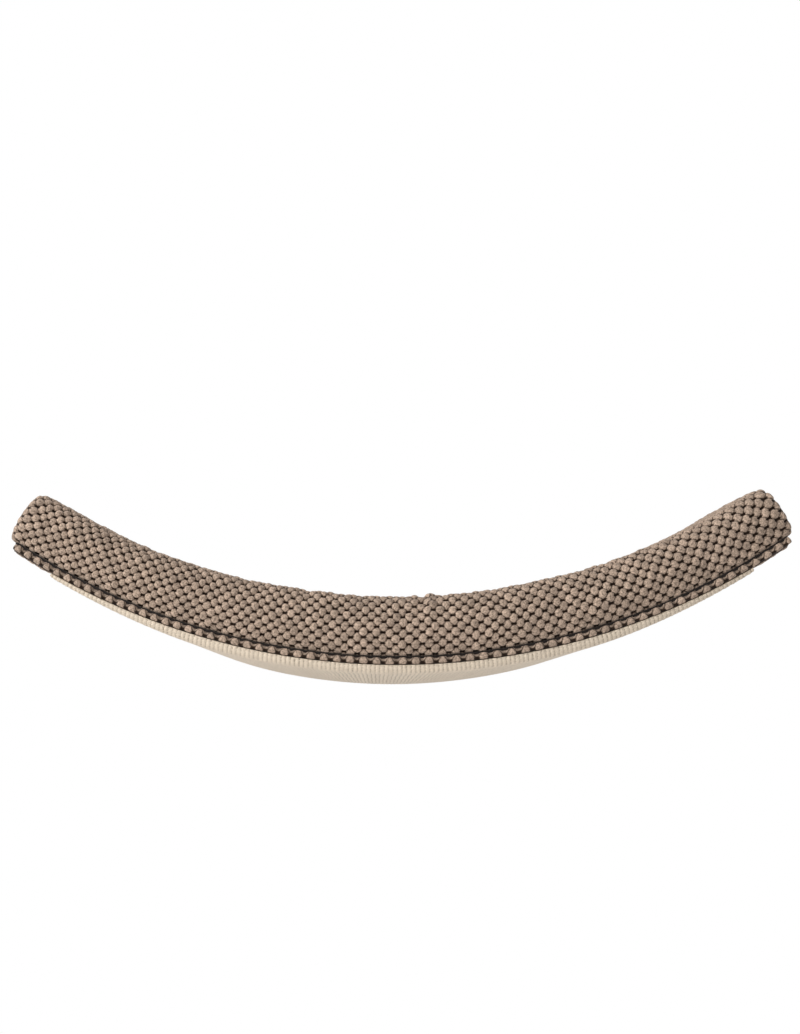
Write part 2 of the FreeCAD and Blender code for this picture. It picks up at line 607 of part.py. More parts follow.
# filling: a slab of foam, and the fibre wrap over it that gives the crown and the swelling sides
FILL = "(Dims.skin + Dims.fill_gap)"
FOAM_UNDER = "(" + SEAM + " - Dims.fill_gap)"
FOAM_TOP = "(" + SEAM + " - Dims.foam_height)"
FOAM_FRONT = "(-Dims.cushion_middle - Dims.foam_half_depth)"
FOAM_BACK = "(-Dims.cushion_middle + Dims.foam_half_depth)"
arc_block("foam_core", FOAM_FRONT, FOAM_BACK, FOAM_TOP, FOAM_UNDER, "Dims.foam_angle")
wrap = new_body("fibre_wrap")
cushion_form(wrap, "AdditiveLoft", "fibre", INSIDE, FILL, "Dims.fill_angle", "(-Dims.fill_gap)")
foam_room = new_sketch(wrap, "YZ_Plane", "foam_room")
block(
    foam_room, "(" + FOAM_FRONT + " - Dims.fill_gap)", "(" + FOAM_BACK + " + Dims.fill_gap)",
    "-" + CLEAR_OF_ALL, "-(" + FOAM_TOP + " - Dims.fill_gap)",
)
turned(wrap, "Groove", foam_room, "Dims.room_angle")

# base of the cover: soft lip under the front seam, hollow over brackets and pads
BASE_UNDER = "(Dims.arc_radius - Dims.base_lift)"
base = new_body("cover_base")
base_profile = new_sketch(base, "YZ_Plane", "profile")
LIP_FRONT = "(" + FRONT_SEAM + " - Dims.base_lip_reach)"
outline(base_profile, [
    (FRONT_SEAM, "-" + SEAM),
    (LIP_FRONT, "-" + SEAM + " - Dims.base_lip_slope"),
    (LIP_FRONT, "-" + BASE_UNDER + " + Dims.base_lip_slope"),
    (FRONT_SEAM, "-" + BASE_UNDER),
    ("-Dims.base_back", "-" + BASE_UNDER),
    ("-Dims.base_back", "-" + SEAM),
])
base_arc = turned(base, "Revolution", base_profile, "2 * Dims.seam_end_angle")
base_under_r = value(BASE_UNDER)
half_depth = value("Dims.half_depth")


def base_end(edge):
    # the straight lower edges across both ends
    points = [vertex.Point for vertex in edge.Vertexes]
    across = abs(points[0].y - points[-1].y) > half_depth
    from_axis = (points[0].x ** 2 + points[0].z ** 2) ** 0.5
    return across and abs(from_axis - base_under_r) < SLACK


dressed(base, base_arc, "Fillet", "Dims.base_edge_radius", base_end)
hollow = new_sketch(base, "YZ_Plane", "hollow")
block(hollow, "-Dims.recess_front", "0", "-" + CLEAR_OF_ALL, "-" + RECESS_ROOF)
turned(base, "Groove", hollow, "Dims.recess_angle")

# dark welt in the seam: along the front and across both ends
welt = new_body("seam_welt")
WELT_FRONT = "(" + FRONT_SEAM + " - Dims.welt_offset)"
welt_front = new_sketch(welt, "YZ_Plane", "front")
hexagon(welt_front, WELT_FRONT, "-(" + SEAM + " - Dims.welt_rise)", "Dims.welt_radius")
END_TURN = "(Dims.seam_end_angle + Dims.welt_end_offset / " + SEAM + " * 180 / pi)"
turned(welt, "Revolution", welt_front, "2 * " + END_TURN)
welt_ends = new_sketch(welt, "XZ_Plane", "ends", shift=["0", "0", "-(" + WELT_FRONT + ")"])
WELT_END_R = "(" + SEAM + " + Dims.welt_end_drop)"
for sign in ("-", ""):
    hexagon(welt_ends, sign + WELT_END_R + " * sin(" + END_TURN + ")",
            "-" + WELT_END_R + " * cos(" + END_TURN + ")", "Dims.welt_radius")
welt_run = raised(welt, "Pad", welt_ends, "2 * Dims.half_depth", midplane=False)
welt_run.Reversed = True

# zip in the back seam: two tapes, the closed coil and an end stop at each end
TAPE_BACK = "(" + BACK_SEAM + " + Dims.tape_stand)"
arc_block(
    "zip_tape_upper", TAPE_BACK, TAPE_FACE, "(" + SEAM + " - Dims.tape_reach)",
    "(" + SEAM + " - Dims.tape_reach + Dims.tape_width)", "Dims.zip_angle",
)
arc_block(
    "zip_tape_lower", TAPE_BACK, TAPE_FACE, "(" + SEAM + " + Dims.tape_reach - Dims.tape_width)",
    "(" + SEAM + " + Dims.tape_reach)", "Dims.zip_angle",
)
arc_block(
    "zip_coil", TAPE_FACE, "(" + TAPE_FACE + " + Dims.coil_thickness)",
    "(" + SEAM + " - Dims.coil_width / 2)", "(" + SEAM + " + Dims.coil_width / 2)",
    "Dims.zip_angle - 2 * Dims.stop_angle",
)
stops = new_body("zip_stops")
stops.AllowCompound = True
for sign in ("-", ""):
    stop_name = "far_stop" if sign else "near_stop"
    stop_turn = sign + "(Dims.zip_angle / 2 - Dims.stop_angle / 2)"
    stop = new_sketch(stops, "YZ_Plane", stop_name, turn=stop_turn)
    block(stop, TAPE_FACE, "(" + TAPE_FACE + " + Dims.stop_height)",
          "-(" + SEAM + " + Dims.coil_width / 2)", "-(" + SEAM + " - Dims.coil_width / 2)")
    turned(stops, "Revolution", stop, "Dims.stop_angle")

# slider: straddles the coil and carries a bail
SLIDER_UNDER = "(" + TAPE_FACE + " + Dims.slider_gap)"
SLIDER_FACE = "(" + TAPE_FACE + " + Dims.slider_height)"
COIL_ROOF = "(" + TAPE_FACE + " + Dims.coil_thickness + Dims.slider_gap)"
half_slot = "(Dims.coil_width / 2 + Dims.slider_gap)"
slider = new_body("zip_slider", turn="-Dims.slider_angle")
straddle = new_sketch(slider, "YZ_Plane", "straddle")
outline(straddle, [
    (SLIDER_UNDER, "-" + SEAM + " - Dims.slider_width / 2"),
    (SLIDER_FACE, "-" + SEAM + " - Dims.slider_width / 2"),
    (SLIDER_FACE, "-" + SEAM + " + Dims.slider_width / 2"),
    (SLIDER_UNDER, "-" + SEAM + " + Dims.slider_width / 2"),
    (SLIDER_UNDER, "-" + SEAM + " + " + half_slot),
    (COIL_ROOF, "-" + SEAM + " + " + half_slot),
    (COIL_ROOF, "-" + SEAM + " - " + half_slot),
    (SLIDER_UNDER, "-" + SEAM + " - " + half_slot),
])
slider_bar = raised(slider, "Pad", straddle, "Dims.slider_length")
slider_height = value("Dims.slider_height") - value("Dims.slider_gap")


def slider_corner(edge):
    return abs(edge.Length - slider_height) < SLACK


dressed(slider, slider_bar, "Fillet", "Dims.slider_round", slider_corner)
bail = new_sketch(slider, "XY_Plane", "bail", shift=["0", "0", "-" + SEAM])
bail_roof = "(" + SLIDER_FACE + " + Dims.bridge_height)"
outline(bail, [
    ("-Dims.bridge_length / 2", SLIDER_FACE),
    ("-Dims.bridge_length / 2 + Dims.bridge_wall", SLIDER_FACE),
    ("-Dims.bridge_length / 2 + Dims.bridge_wall", bail_roof + " - Dims.bridge_wall"),
    ("Dims.bridge_length / 2 - Dims.bridge_wall", bail_roof + " - Dims.bridge_wall"),
    ("Dims.bridge_length / 2 - Dims.bridge_wall", SLIDER_FACE),
    ("Dims.bridge_length / 2", SLIDER_FACE),
    ("Dims.bridge_length / 2", bail_roof),
    ("-Dims.bridge_length / 2", bail_roof),
])
raised(slider, "Pad", bail, "Dims.bridge_width")

# pull: a plate with a window round the bail and a round bar in it, lying along the zip
pull = new_body("zip_pull", turn="-Dims.slider_angle")
PIVOT_FACE = "(" + SLIDER_FACE + " + Dims.pivot_height)"
pull_plate = new_sketch(pull, "XZ_Plane", "plate", shift=["0", "0", "-" + PIVOT_FACE])
block(pull_plate, "-Dims.pull_length", "0",
      "-" + SEAM + " - Dims.pull_width / 2", "-" + SEAM + " + Dims.pull_width / 2")
block(pull_plate, "-Dims.pull_window_end", "-Dims.pull_eye / 2",
      "-" + SEAM + " - Dims.pull_window_width / 2", "-" + SEAM + " + Dims.pull_window_width / 2")
pull_bar = raised(pull, "Pad", pull_plate, "Dims.pull_thickness")
pull_end = -value("Dims.pull_length")
pull_thickness = value("Dims.pull_thickness")


def pull_corner(edge):
    at_end = all(abs(vertex.Point.x - pull_end) < SLACK for vertex in edge.Vertexes)
    return at_end and abs(edge.Length - pull_thickness) < SLACK


dressed(pull, pull_bar, "Fillet", "Dims.pull_round", pull_corner)
pull_eye = new_sketch(pull, "XY_Plane", "eye", shift=["0", "0", "-" + SEAM])
ring(pull_eye, "0", PIVOT_FACE, "Dims.pull_eye")
raised(pull, "Pad", pull_eye, "Dims.pull_width")

doc.recompute()

problems = []
for item in doc.Objects:
    if "Invalid" in item.State or "Error" in item.State:
        problems.append(item.Name + " " + str(item.State))
bodies = [item for item in doc.Objects if item.TypeId == "PartDesign::Body"]
for body in bodies:
    if body.Shape.isNull() or not body.Shape.isValid() or not body.Shape.Solids:
        problems.append(body.Label + " has no valid solid")
if problems:
    raise RuntimeError("; ".join(problems))

os.makedirs("parts", exist_ok=True)
for body in bodies:
    body.Shape.exportStep("parts/" + body.Label + ".step")
    box = body.Shape.BoundBox
    print("%-24s solids %d volume %10.0f  x %.1f %.1f  y %.1f %.1f  z %.1f %.1f" % (
        body.Label, len(body.Shape.Solids), body.Shape.Volume,
        box.XMin, box.XMax, box.YMin, box.YMax, box.ZMin, box.ZMax,
    ))
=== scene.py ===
import math
import bpy
import numpy as np
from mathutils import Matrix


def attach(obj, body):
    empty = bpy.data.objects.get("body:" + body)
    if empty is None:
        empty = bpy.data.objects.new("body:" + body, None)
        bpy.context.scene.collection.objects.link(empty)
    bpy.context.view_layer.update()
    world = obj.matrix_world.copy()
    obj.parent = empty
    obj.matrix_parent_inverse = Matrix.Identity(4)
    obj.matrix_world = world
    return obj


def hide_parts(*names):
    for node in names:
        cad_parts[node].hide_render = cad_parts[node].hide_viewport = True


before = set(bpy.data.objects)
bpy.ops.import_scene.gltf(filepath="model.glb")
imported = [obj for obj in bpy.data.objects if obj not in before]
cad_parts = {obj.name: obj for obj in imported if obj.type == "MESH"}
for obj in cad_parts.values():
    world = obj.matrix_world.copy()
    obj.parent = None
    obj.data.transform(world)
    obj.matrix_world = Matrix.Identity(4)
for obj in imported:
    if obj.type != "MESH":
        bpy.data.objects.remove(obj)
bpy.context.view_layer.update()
scene = bpy.context.scene
mm = 0.001
degree = math.pi / 180
tiny = 1e-15  # keeps a length off zero
arc = {"axisZ": 757 * mm, "seam": 807 * mm, "board": 815 * mm, "under": 823 * mm, "endUnder": 818.4 * mm}
arc.update(boardEnd=30 * degree, seamEnd=33.6 * degree, capEnd=34.6 * degree)
arc.update(measure=780 * mm)  # cloth lengths are measured at this radius


def bent(angle, radius, depth):  # angle from straight down about the arc's axis, depth along the wall's normal
    angle, radius, depth = np.broadcast_arrays(angle, radius, depth)
    return np.stack([radius * np.sin(angle), depth, arc["axisZ"] - radius * np.cos(angle)], axis=-1)


def boardUnder(angle):  # radius of the board's underside: a tighter arc, so that the board thins towards its ends
    chord = arc["endUnder"] * math.sin(arc["boardEnd"])
    sag = arc["under"] - arc["endUnder"] * math.cos(arc["boardEnd"])
    radius = (chord ** 2 + sag ** 2) / (2 * sag)
    shift = arc["under"] - radius
    return shift * np.cos(angle) + np.sqrt(radius ** 2 - (shift * np.sin(angle)) ** 2)


def ease(low, high, value):  # smooth step from 0 at low to 1 at high
    part = np.clip((value - low) / (high - low), 0, 1)
    return part * part * (3 - 2 * part)


def gridFaces(rows, cols, wrap=False):  # quads of a grid, facing along rows cross columns
    index = np.arange(rows * cols).reshape(rows, cols)
    if wrap:
        index = np.concatenate([index, index[:, :1]], axis=1)
    corners = [index[:-1, :-1], index[1:, :-1], index[1:, 1:], index[:-1, 1:]]
    return np.stack(corners, axis=-1).reshape(-1, 4)


def gridNormals(points, wrap=False):  # unit normals at a grid's points
    along = np.gradient(points, axis=0)
    across = (np.roll(points, -1, 1) - np.roll(points, 1, 1)) / 2 if wrap else np.gradient(points, axis=1)
    normal = np.cross(along, across)
    return normal / np.maximum(np.linalg.norm(normal, axis=-1, keepdims=True), tiny)


def walkedAlong(line):  # length from a line's first point to each of its points
    return np.concatenate([[0], np.cumsum(np.linalg.norm(np.diff(line, axis=0), axis=1))])


def makePiece(name, points, faces, layers=None):
    mesh = bpy.data.meshes.new(name)
    flat = np.asarray(points, dtype=np.float32).reshape(-1, 3)
    mesh.vertices.add(len(flat))
    mesh.vertices.foreach_set("co", flat.ravel())
    mesh.loops.add(faces.size)
    mesh.loops.foreach_set("vertex_index", faces.astype(np.int32).ravel())
    mesh.polygons.add(len(faces))
    mesh.polygons.foreach_set("loop_start", np.arange(0, faces.size, faces.shape[1], dtype=np.int32))
    mesh.polygons.foreach_set("use_smooth", np.ones(len(faces), dtype=bool))
    mesh.update(calc_edges=True)
    for key, data in (layers or {}).items():
        layer = mesh.attributes.new(key, "FLOAT", "POINT")
        layer.data.foreach_set("value", np.asarray(data, dtype=np.float32).ravel())
    piece = bpy.data.objects.new(name, mesh)
    scene.collection.objects.link(piece)
    return piece


def cappedRun(points):  # a closed section carried along rows; both ends close on the section's middle
    middle = points.mean(axis=1, keepdims=True)
    first, last = [np.repeat(spot, points.shape[1], 1) for spot in (middle[:1], middle[-1:])]
    return np.concatenate([first, points, last], axis=0)


def finishPiece(piece, body, look, node):
    piece.data.materials.append(look)
    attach(piece, body)
    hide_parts(node)


class Wire:  # a shader socket that can be added, multiplied and so on
    def __init__(self, tree, socket):
        self.tree, self.socket = tree, socket

    def maths(self, operation, *others):
        node = self.tree.nodes.new("ShaderNodeMath")
        node.operation = operation
        for place, item in zip(node.inputs, (self,) + others):
            plug(self.tree, item, place)
        return Wire(self.tree, node.outputs[0])

    def __add__(self, other):
        return self.maths("ADD", other)

    def __mul__(self, other):
        return self.maths("MULTIPLY", other)

    def __sub__(self, other):
        return self.maths("SUBTRACT", other)

    def __truediv__(self, other):
        return self.maths("DIVIDE", other)

    def __pow__(self, other):
        return self.maths("POWER", other)

    def __rsub__(self, other):
        return self * -1 + other

    def __rtruediv__(self, other):
        return self ** -1 * other

    __radd__ = __add__
    __rmul__ = __mul__


def plug(tree, item, place):
    if isinstance(item, Wire):
        tree.links.new(item.socket, place)
    elif hasattr(place.default_value, "__len__") and len(item) == 3 and len(place.default_value) == 4:
        place.default_value = (*item, 1)
    else:
        place.default_value = item


class Look:  # one procedural material
    def __init__(self, name, **constants):
        self.material = bpy.data.materials.new(name)
        self.material.use_nodes = True
        self.tree = self.material.node_tree
        self.surface = self.tree.nodes["Principled BSDF"]
        self.place = self.node("ShaderNodeTexCoord", out="Object")
        for key, number in constants.items():
            self.surface.inputs[key].default_value = number

    def node(self, kind, settings=None, inputs=None, out=0):
        node = self.tree.nodes.new(kind)
        for key, choice in (settings or {}).items():
            setattr(node, key, choice)
        for key, item in (inputs or {}).items():
            plug(self.tree, item, node.inputs[key])
        return Wire(self.tree, node.outputs[out])

    def layer(self, name):
        return self.node("ShaderNodeAttribute", {"attribute_name": name}, out="Fac")

    def stretched(self, scale):
        return self.node("ShaderNodeMapping", inputs={"Vector": self.place, "Scale": scale})

    def noise(self, scale, detail, rough=0.6, place=None):
        wanted = {"Vector": place or self.place, "Scale": scale, "Detail": detail, "Roughness": rough}
        return self.node("ShaderNodeTexNoise", inputs=wanted)

    def between(self, item, low, high):  # 0 to 1 as the item goes from low to high, smoothly
        wanted = {"Value": item, "From Min": low, "From Max": high}
        return self.node("ShaderNodeMapRange", {"interpolation_type": "SMOOTHSTEP"}, wanted)

    def mix(self, share, low, high):
        return self.node("ShaderNodeMix", {"data_type": "RGBA"}, {0: share, 6: low, 7: high}, 2)

    def shade(self, colour, amount):  # a colour times a number
        grey = self.node("ShaderNodeCombineColor", inputs={0: amount, 1: amount, 2: amount})
        settings = {"data_type": "RGBA", "blend_type": "MULTIPLY"}
        return self.node("ShaderNodeMix", settings, {0: 1.0, 6: colour, 7: grey}, 2)

    def done(self, colour, rough, height, strength, distance):
        plug(self.tree, colour, self.surface.inputs["Base Color"])
        plug(self.tree, rough, self.surface.inputs["Roughness"])
        wanted = {"Height": height, "Strength": strength, "Distance": distance}
        plug(self.tree, self.node("ShaderNodeBump", inputs=wanted), self.surface.inputs["Normal"])
        return self.material


def axisRadius(look):  # distance of a point from the arc's axis
    x, z = [look.node("ShaderNodeSeparateXYZ", inputs={0: look.place}, out=axis) for axis in "XZ"]
    drop = z - arc["axisZ"]
    return (x * x + drop * drop) ** 0.5


bobble = {"pitch": 14.6 * mm, "along": 5.5 * mm, "across": 6.9 * mm, "height": 4.0 * mm, "power": 2.4}
bobble.update(spread=0.10, shift=0.9 * mm, uneven=0.22, steep=(0.42, 0.58))  # how the bobbles differ and hang
bobble.update(wander=0.8 * mm, waveAlong=(8.7 * mm, 37 * mm), waveAcross=(10.9 * mm, 29 * mm))
bobble.update(dash=(3.4 * mm, 1.1 * mm), dashTall=1.5, dashDeep=0.85)  # half sizes of the gap between two bobbles
bobble.update(columns=(0.95, 1.13), columnsTurn=(8 * degree, -34 * degree))  # closeness of the columns
bobble.update(rows=1.175, rowsFall=0.149)  # closeness of the rows
# the gap colour is the dark ground weave deepened with painted shade
bobble.update(gapColour=(0.020, 0.010, 0.005), topColour=(0.45, 0.337, 0.258))
bobble.update(line=(0.1 * mm, 1.6 * mm), lineDark=0.78, dashDark=0.96, dimple=(0.5 * mm, 2.6 * mm))


def bobbleLook():  # pale domes with dark gaps, partly the ground weave's own colour and partly painted shade; a painted shade line round each and a painted shaded dimple in some
    look = Look("bobble_cloth", **{"Specular IOR Level": 0.12, "Sheen Weight": 0.1, "Sheen Roughness": 0.5})
    dome, tint, right, left = [look.layer(name) for name in ("bobble", "tint", "right", "left")]
    fuzz, speck, broad = look.noise(560, 5, 0.7), look.noise(1500, 3, 0.7), look.noise(9, 2)
    fromRight, fromLeft = [side.maths("FRACT") - 0.5 for side in (right, left)]  # in cells, from its edges
    spans = (fromRight + fromLeft, fromRight - fromLeft)
    aside, above = [(span * bobble["pitch"] / 2).maths("ABSOLUTE") for span in spans]
    # painted shadow: a dark dash in the gap under each bobble
    dash = 1 - look.between((aside / bobble["dash"][0]) ** 3 + (above / bobble["dash"][1]) ** 3, 0.4, 1.6)
    # painted shade: a dark line along the border where neighbouring bobbles meet
    border = fromRight.maths("ABSOLUTE").maths("MINIMUM", fromLeft.maths("ABSOLUTE")) * bobble["pitch"]
    line = 1 - look.between(border, *bobble["line"])
    inRight, inLeft = [(side + 0.5).maths("FRACT") - 0.5 for side in (right, left)]  # in cells, from its middle
    middle = ((inRight * inRight + inLeft * inLeft) * 0.5) ** 0.5 * bobble["pitch"]
    # painted shade: a darker spot in the middle of some bobbles, as if dimpled; the mesh has no dimple
    dimple = (1 - look.between(middle, *bobble["dimple"])) * look.between(look.noise(300, 3), 0.42, 0.62)
    # painted shade: the low part of each dome, its border line and its dash go to the dark gap colour
    top = look.between(dome, 0.08, 0.6) * (1 - line * bobble["lineDark"]) * (1 - dash * bobble["dashDark"])
    colour = look.mix(top, bobble["gapColour"], bobble["topColour"])
    fibre = 0.36 + look.between(fuzz, 0.36, 0.64) * 0.78 + look.between(speck, 0.38, 0.62) * 0.42
    amount = fibre * (0.84 + tint * 0.28) * (0.92 + broad * 0.16) * (1.03 - dimple * 0.42)
    return look.done(look.shade(colour, amount), 0.96, fuzz * 0.7 + speck * 0.3, 0.75, 1.4 * mm)


def matLook():  # pale ribs; painted shade darkens the grooves and the stitches where the weft lies low
    look = Look("ribbed_weave", **{"Specular IOR Level": 0.15, "Sheen Weight": 0.1})
    rib, tint = look.layer("rib"), look.layer("tint")
    yarn = look.noise(500, 5, 0.7, look.stretched((1, 0.35, 1)))
    fibre = look.noise(1900, 3, 0.7)
    # painted shade: the grooves and the low weft take the darker colour
    colour = look.mix(look.between(rib, 0.05, 0.85), (0.33, 0.265, 0.195), (0.76, 0.645, 0.512))
    worn = 0.74 + look.between(yarn, 0.3, 0.7) * 0.26 + look.between(fibre, 0.35, 0.65) * 0.16
    amount = worn * (0.97 + tint * 0.06)
    return look.done(look.shade(colour, amount), 0.92, yarn * 0.7 + fibre * 0.3, 0.55, 0.8 * mm)


veneerThick = 1.34 * mm


def plyLook():  # veneers that lie crosswise by turns, so that every other one is darker
    look = Look("birch_ply", **{"Specular IOR Level": 0.4})
    veneer = ((axisRadius(look) - arc["board"]) / veneerThick).maths("FLOOR")
    turned = (veneer * 0.5).maths("FRACT") * 2
    grain = look.noise(6, 6, 0.65, look.stretched((1.2, 26, 26)))
    pore = look.noise(40, 4, 0.7, look.stretched((1, 14, 14)))
    face = look.mix(look.between(grain, 0.35, 0.68), (0.66, 0.47, 0.27), (0.50, 0.32, 0.165))
    colour = look.shade(face, (0.82 + pore * 0.3) * (1 - turned * 0.34))
    return look.done(colour, 0.42 + pore * 0.2, pore, 0.2, 0.3 * mm)


def coatLook():
    look = Look("powder_coat", **{"Specular IOR Level": 0.45})
    peel, cloud = look.noise(900, 2), look.noise(30, 4)
    colour = look.mix(cloud, (0.012, 0.012, 0.013), (0.026, 0.026, 0.028))
    return look.done(colour, 0.46 + peel * 0.16, peel, 0.25, 0.2 * mm)


def metalLook(name, dark, light, rough):  # brushed and slightly clouded
    look = Look(name, Metallic=1.0)
    brushed = look.noise(240, 5, 0.7, look.stretched((1, 1, 9)))
    cloud = look.noise(60, 4)
    return look.done(look.mix(cloud, dark, light), rough + brushed * 0.22, brushed, 0.12, 0.1 * mm)


def fuzzLook(name, dark, light, scale, strength):  # textile with fine fibres
    look = Look(name, **{"Specular IOR Level": 0.15, "Sheen Weight": 0.15})
    fuzz, fine = look.noise(scale, 6, 0.75), look.noise(scale * 3, 3)
    colour = look.mix(look.between(fuzz, 0.3, 0.7), dark, light)
    return look.done(look.shade(colour, 0.8 + fine * 0.4), 0.9, fuzz * 0.6 + fine * 0.4, strength, 0.9 * mm)


def foamLook():
    look = Look("open_foam", **{"Specular IOR Level": 0.2})
    cell = look.node("ShaderNodeTexVoronoi", inputs={"Vector": look.place, "Scale": 650.0})
    colour = look.mix(look.between(cell, 0.1, 0.6), (0.50, 0.42, 0.25), (0.79, 0.72, 0.53))
    return look.done(colour, 0.95, cell, 0.5, 0.6 * mm)


looks = {"bobble": bobbleLook(), "mat": matLook(), "ply": plyLook(), "coat": coatLook(), "foam": foamLook()}
looks["zinc"] = metalLook("zinc_plate", (0.52, 0.53, 0.54), (0.70, 0.71, 0.72), 0.24)
looks["gun"] = metalLook("gunmetal", (0.16, 0.155, 0.15), (0.27, 0.26, 0.25), 0.26)
# near black: partly the dark piping's own colour, partly painted shade of the seam's crease
looks["cord"] = fuzzLook("welt_weave", (0.006, 0.004, 0.003), (0.022, 0.015, 0.012), 900, 0.5)
looks["tape"] = fuzzLook("zip_weave", (0.045, 0.036, 0.029), (0.10, 0.082, 0.068), 1400, 0.5)
looks["coil"] = fuzzLook("coil_nylon", (0.036, 0.029, 0.024), (0.062, 0.051, 0.043), 300, 0.1)
looks["hook"] = fuzzLook("hook_tape", (0.006, 0.006, 0.006), (0.030, 0.030, 0.030), 1300, 0.9)
looks["loop"] = fuzzLook("loop_tape", (0.012, 0.011, 0.010), (0.050, 0.046, 0.042), 800, 0.9)
looks["fibre"] = fuzzLook("bonded_fibre", (0.70, 0.70, 0.67), (0.88, 0.88, 0.86), 180, 0.7)
print("materials", len(looks))


dice = np.random.default_rng(7).random((5, 97, 89))  # for each cell: shift along and across, size, height, tint


def bobbles(along, across, wide=1):  # domes of differing size and place on a wavy lattice stood on its corner
    pitch, wander = bobble["pitch"], bobble["wander"]
    (shortAlong, longAlong), (shortAcross, longAcross) = bobble["waveAlong"], bobble["waveAcross"]
    wavyAlong = along + wander * np.sin(across / shortAlong + 2 * np.sin(along / longAlong))
    wavyAcross = across + wander * np.sin(along / shortAcross + 2 * np.sin(across / longAcross))
    right, left = (wavyAlong + wavyAcross) / pitch, (wavyAlong - wavyAcross) / pitch
    cellRight, cellLeft = np.rint(right), np.rint(left)
    draw = dice[:, cellRight.astype(int) % dice.shape[1], cellLeft.astype(int) % dice.shape[2]]
    offRight, offLeft = right - cellRight, left - cellLeft
    size = 1 + (draw[2] - 0.5) * bobble["spread"]
    dx = (offRight + offLeft) / 2 * pitch + (draw[0] - 0.5) * bobble["shift"]
    dy = (offRight - offLeft) / 2 * pitch + (draw[1] - 0.5) * bobble["shift"]
    outAlong, outAcross = np.abs(dx) / bobble["along"] / size / wide, np.abs(dy) / bobble["across"] / size
    reach = outAlong ** bobble["power"] + outAcross ** bobble["power"]  # 0 in the middle, 1 on the rim
    steep = np.where(dy < 0, *bobble["steep"])  # each bobble hangs a little, so that its lower side is steeper
    dome = np.clip(1 - reach, 0, 1) ** steep * (1 + (draw[3] - 0.5) * bobble["uneven"])
    besideRight, besideLeft = right % 1 - 0.5, left % 1 - 0.5
    aside, above = [np.abs(span) * pitch / 2 for span in (besideRight + besideLeft, besideRight - besideLeft)]
    dashWide, dashTall = bobble["dash"][0], bobble["dashTall"] * bobble["dash"][1]
    dash = ease(1.7, 0.3, (aside / dashWide) ** 3 + (above / dashTall) ** 3)
    return dome * (1 - bobble["dashDeep"] * dash), {"tint": draw[4], "right": right, "left": left}


def weave(along):  # where the columns stand and how close the rows are; both are closer towards the left end
    spots = np.linspace(-0.6, 0.6, 801)  # metres along the cloth, past both its ends
    low, high = bobble["columns"]
    close = low + (high - low) * ease(*bobble["columnsTurn"], spots / arc["measure"])
    walked = np.cumsum(close) * (spots[1] - spots[0])
    walked = walked - walked[len(spots) // 2]
    return np.interp(along, spots, walked), bobble["rows"] - bobble["rowsFall"] * along / arc["measure"]


cover = {"half": 184 * mm, "bulge": 10 * mm, "side": 60 * mm, "shoulder": 22 * mm, "crown": 3000 * mm}
cover.update(topMiddle=78 * mm, topEnd=70.5 * mm, middle=-208 * mm, ground=3.1 * mm, step=1.46 * mm)
cover.update(endRound=5.5 * mm, endRise=7 * mm, endRun=17.5 * mm, endPuff=3 * mm, endLow=0.34, endWalk=5.9 * mm)
cover.update(fanWidth=0.8, fanEdge=40 * mm, edgeRows=14 * mm, edgeFade=4 * mm)
cover.update(simStep=9 * mm, simColumns=62, simFrames=20, simCap=1.6 * mm, simShare=0.7)
cover.update(firstRow=6.0 * mm, sway=0.9 * mm, swayWave=83 * mm)
cover.update(seamFade=(1.3 * mm, 3.2 * mm), seamRise=(1 * mm, 10 * mm), zipClear=(5 * mm, 12 * mm))
cover.update(lump=0.45 * mm, lumpFade=30 * mm, lumpAlong=(47 * mm, 23 * mm), lumpAcross=(61 * mm, 37 * mm))
cover.update(fillDeep=3.1 * mm, fillEvery=6)


def profile(top, shrink, share):  # side, shoulder and crown arcs, tangent to each other, walked evenly
    swell = math.sqrt(2 * cover["side"] * cover["bulge"] - cover["bulge"] ** 2)
    side = np.array([cover["half"] + cover["bulge"] - cover["side"], swell])
    crown = np.array([0, top - cover["crown"]])
    near, far = cover["side"] - cover["shoulder"], cover["crown"] - cover["shoulder"]
    span = np.hypot(*(crown - side))
    toward = (crown - side) / span
    reach = (near ** 2 - far ** 2 + span ** 2) / (2 * span)
    shoulder = side + toward * reach + np.array([-toward[1], toward[0]]) * math.sqrt(near ** 2 - reach ** 2)
    radii = [cover["side"] - shrink, cover["shoulder"] - shrink, cover["crown"] - shrink]
    bends = [math.atan2(*(shoulder - other)[::-1]) for other in (side, crown)]
    turns = [-math.asin(swell / radii[0]), *bends, math.pi / 2]
    lengths = [radius * (b - a) for radius, a, b in zip(radii, turns, turns[1:])]
    starts = np.concatenate([[0], np.cumsum(lengths)])
    walked = share * 2 * starts[-1]
    fromEdge = np.minimum(walked, 2 * starts[-1] - walked)
    zone = np.clip(np.searchsorted(starts, fromEdge, side="right") - 1, 0, 2)
    angle = np.array(turns)[zone] + (fromEdge - starts[zone]) / np.array(radii)[zone]
    centre = np.array([side, shoulder, crown])[zone]
    depth = centre[:, 0] + np.array(radii)[zone] * np.cos(angle)
    height = centre[:, 1] + np.array(radii)[zone] * np.sin(angle)
    return np.where(share < 0.5, -depth, depth), height, 2 * starts[-1]


def endSwell(height):  # quarter of an ellipse: 0 at the seam, 1 from endRise upwards
    return np.sqrt(np.clip(1 - (1 - np.clip(height / cover["endRise"], 0, 1)) ** 2, 0, 1))


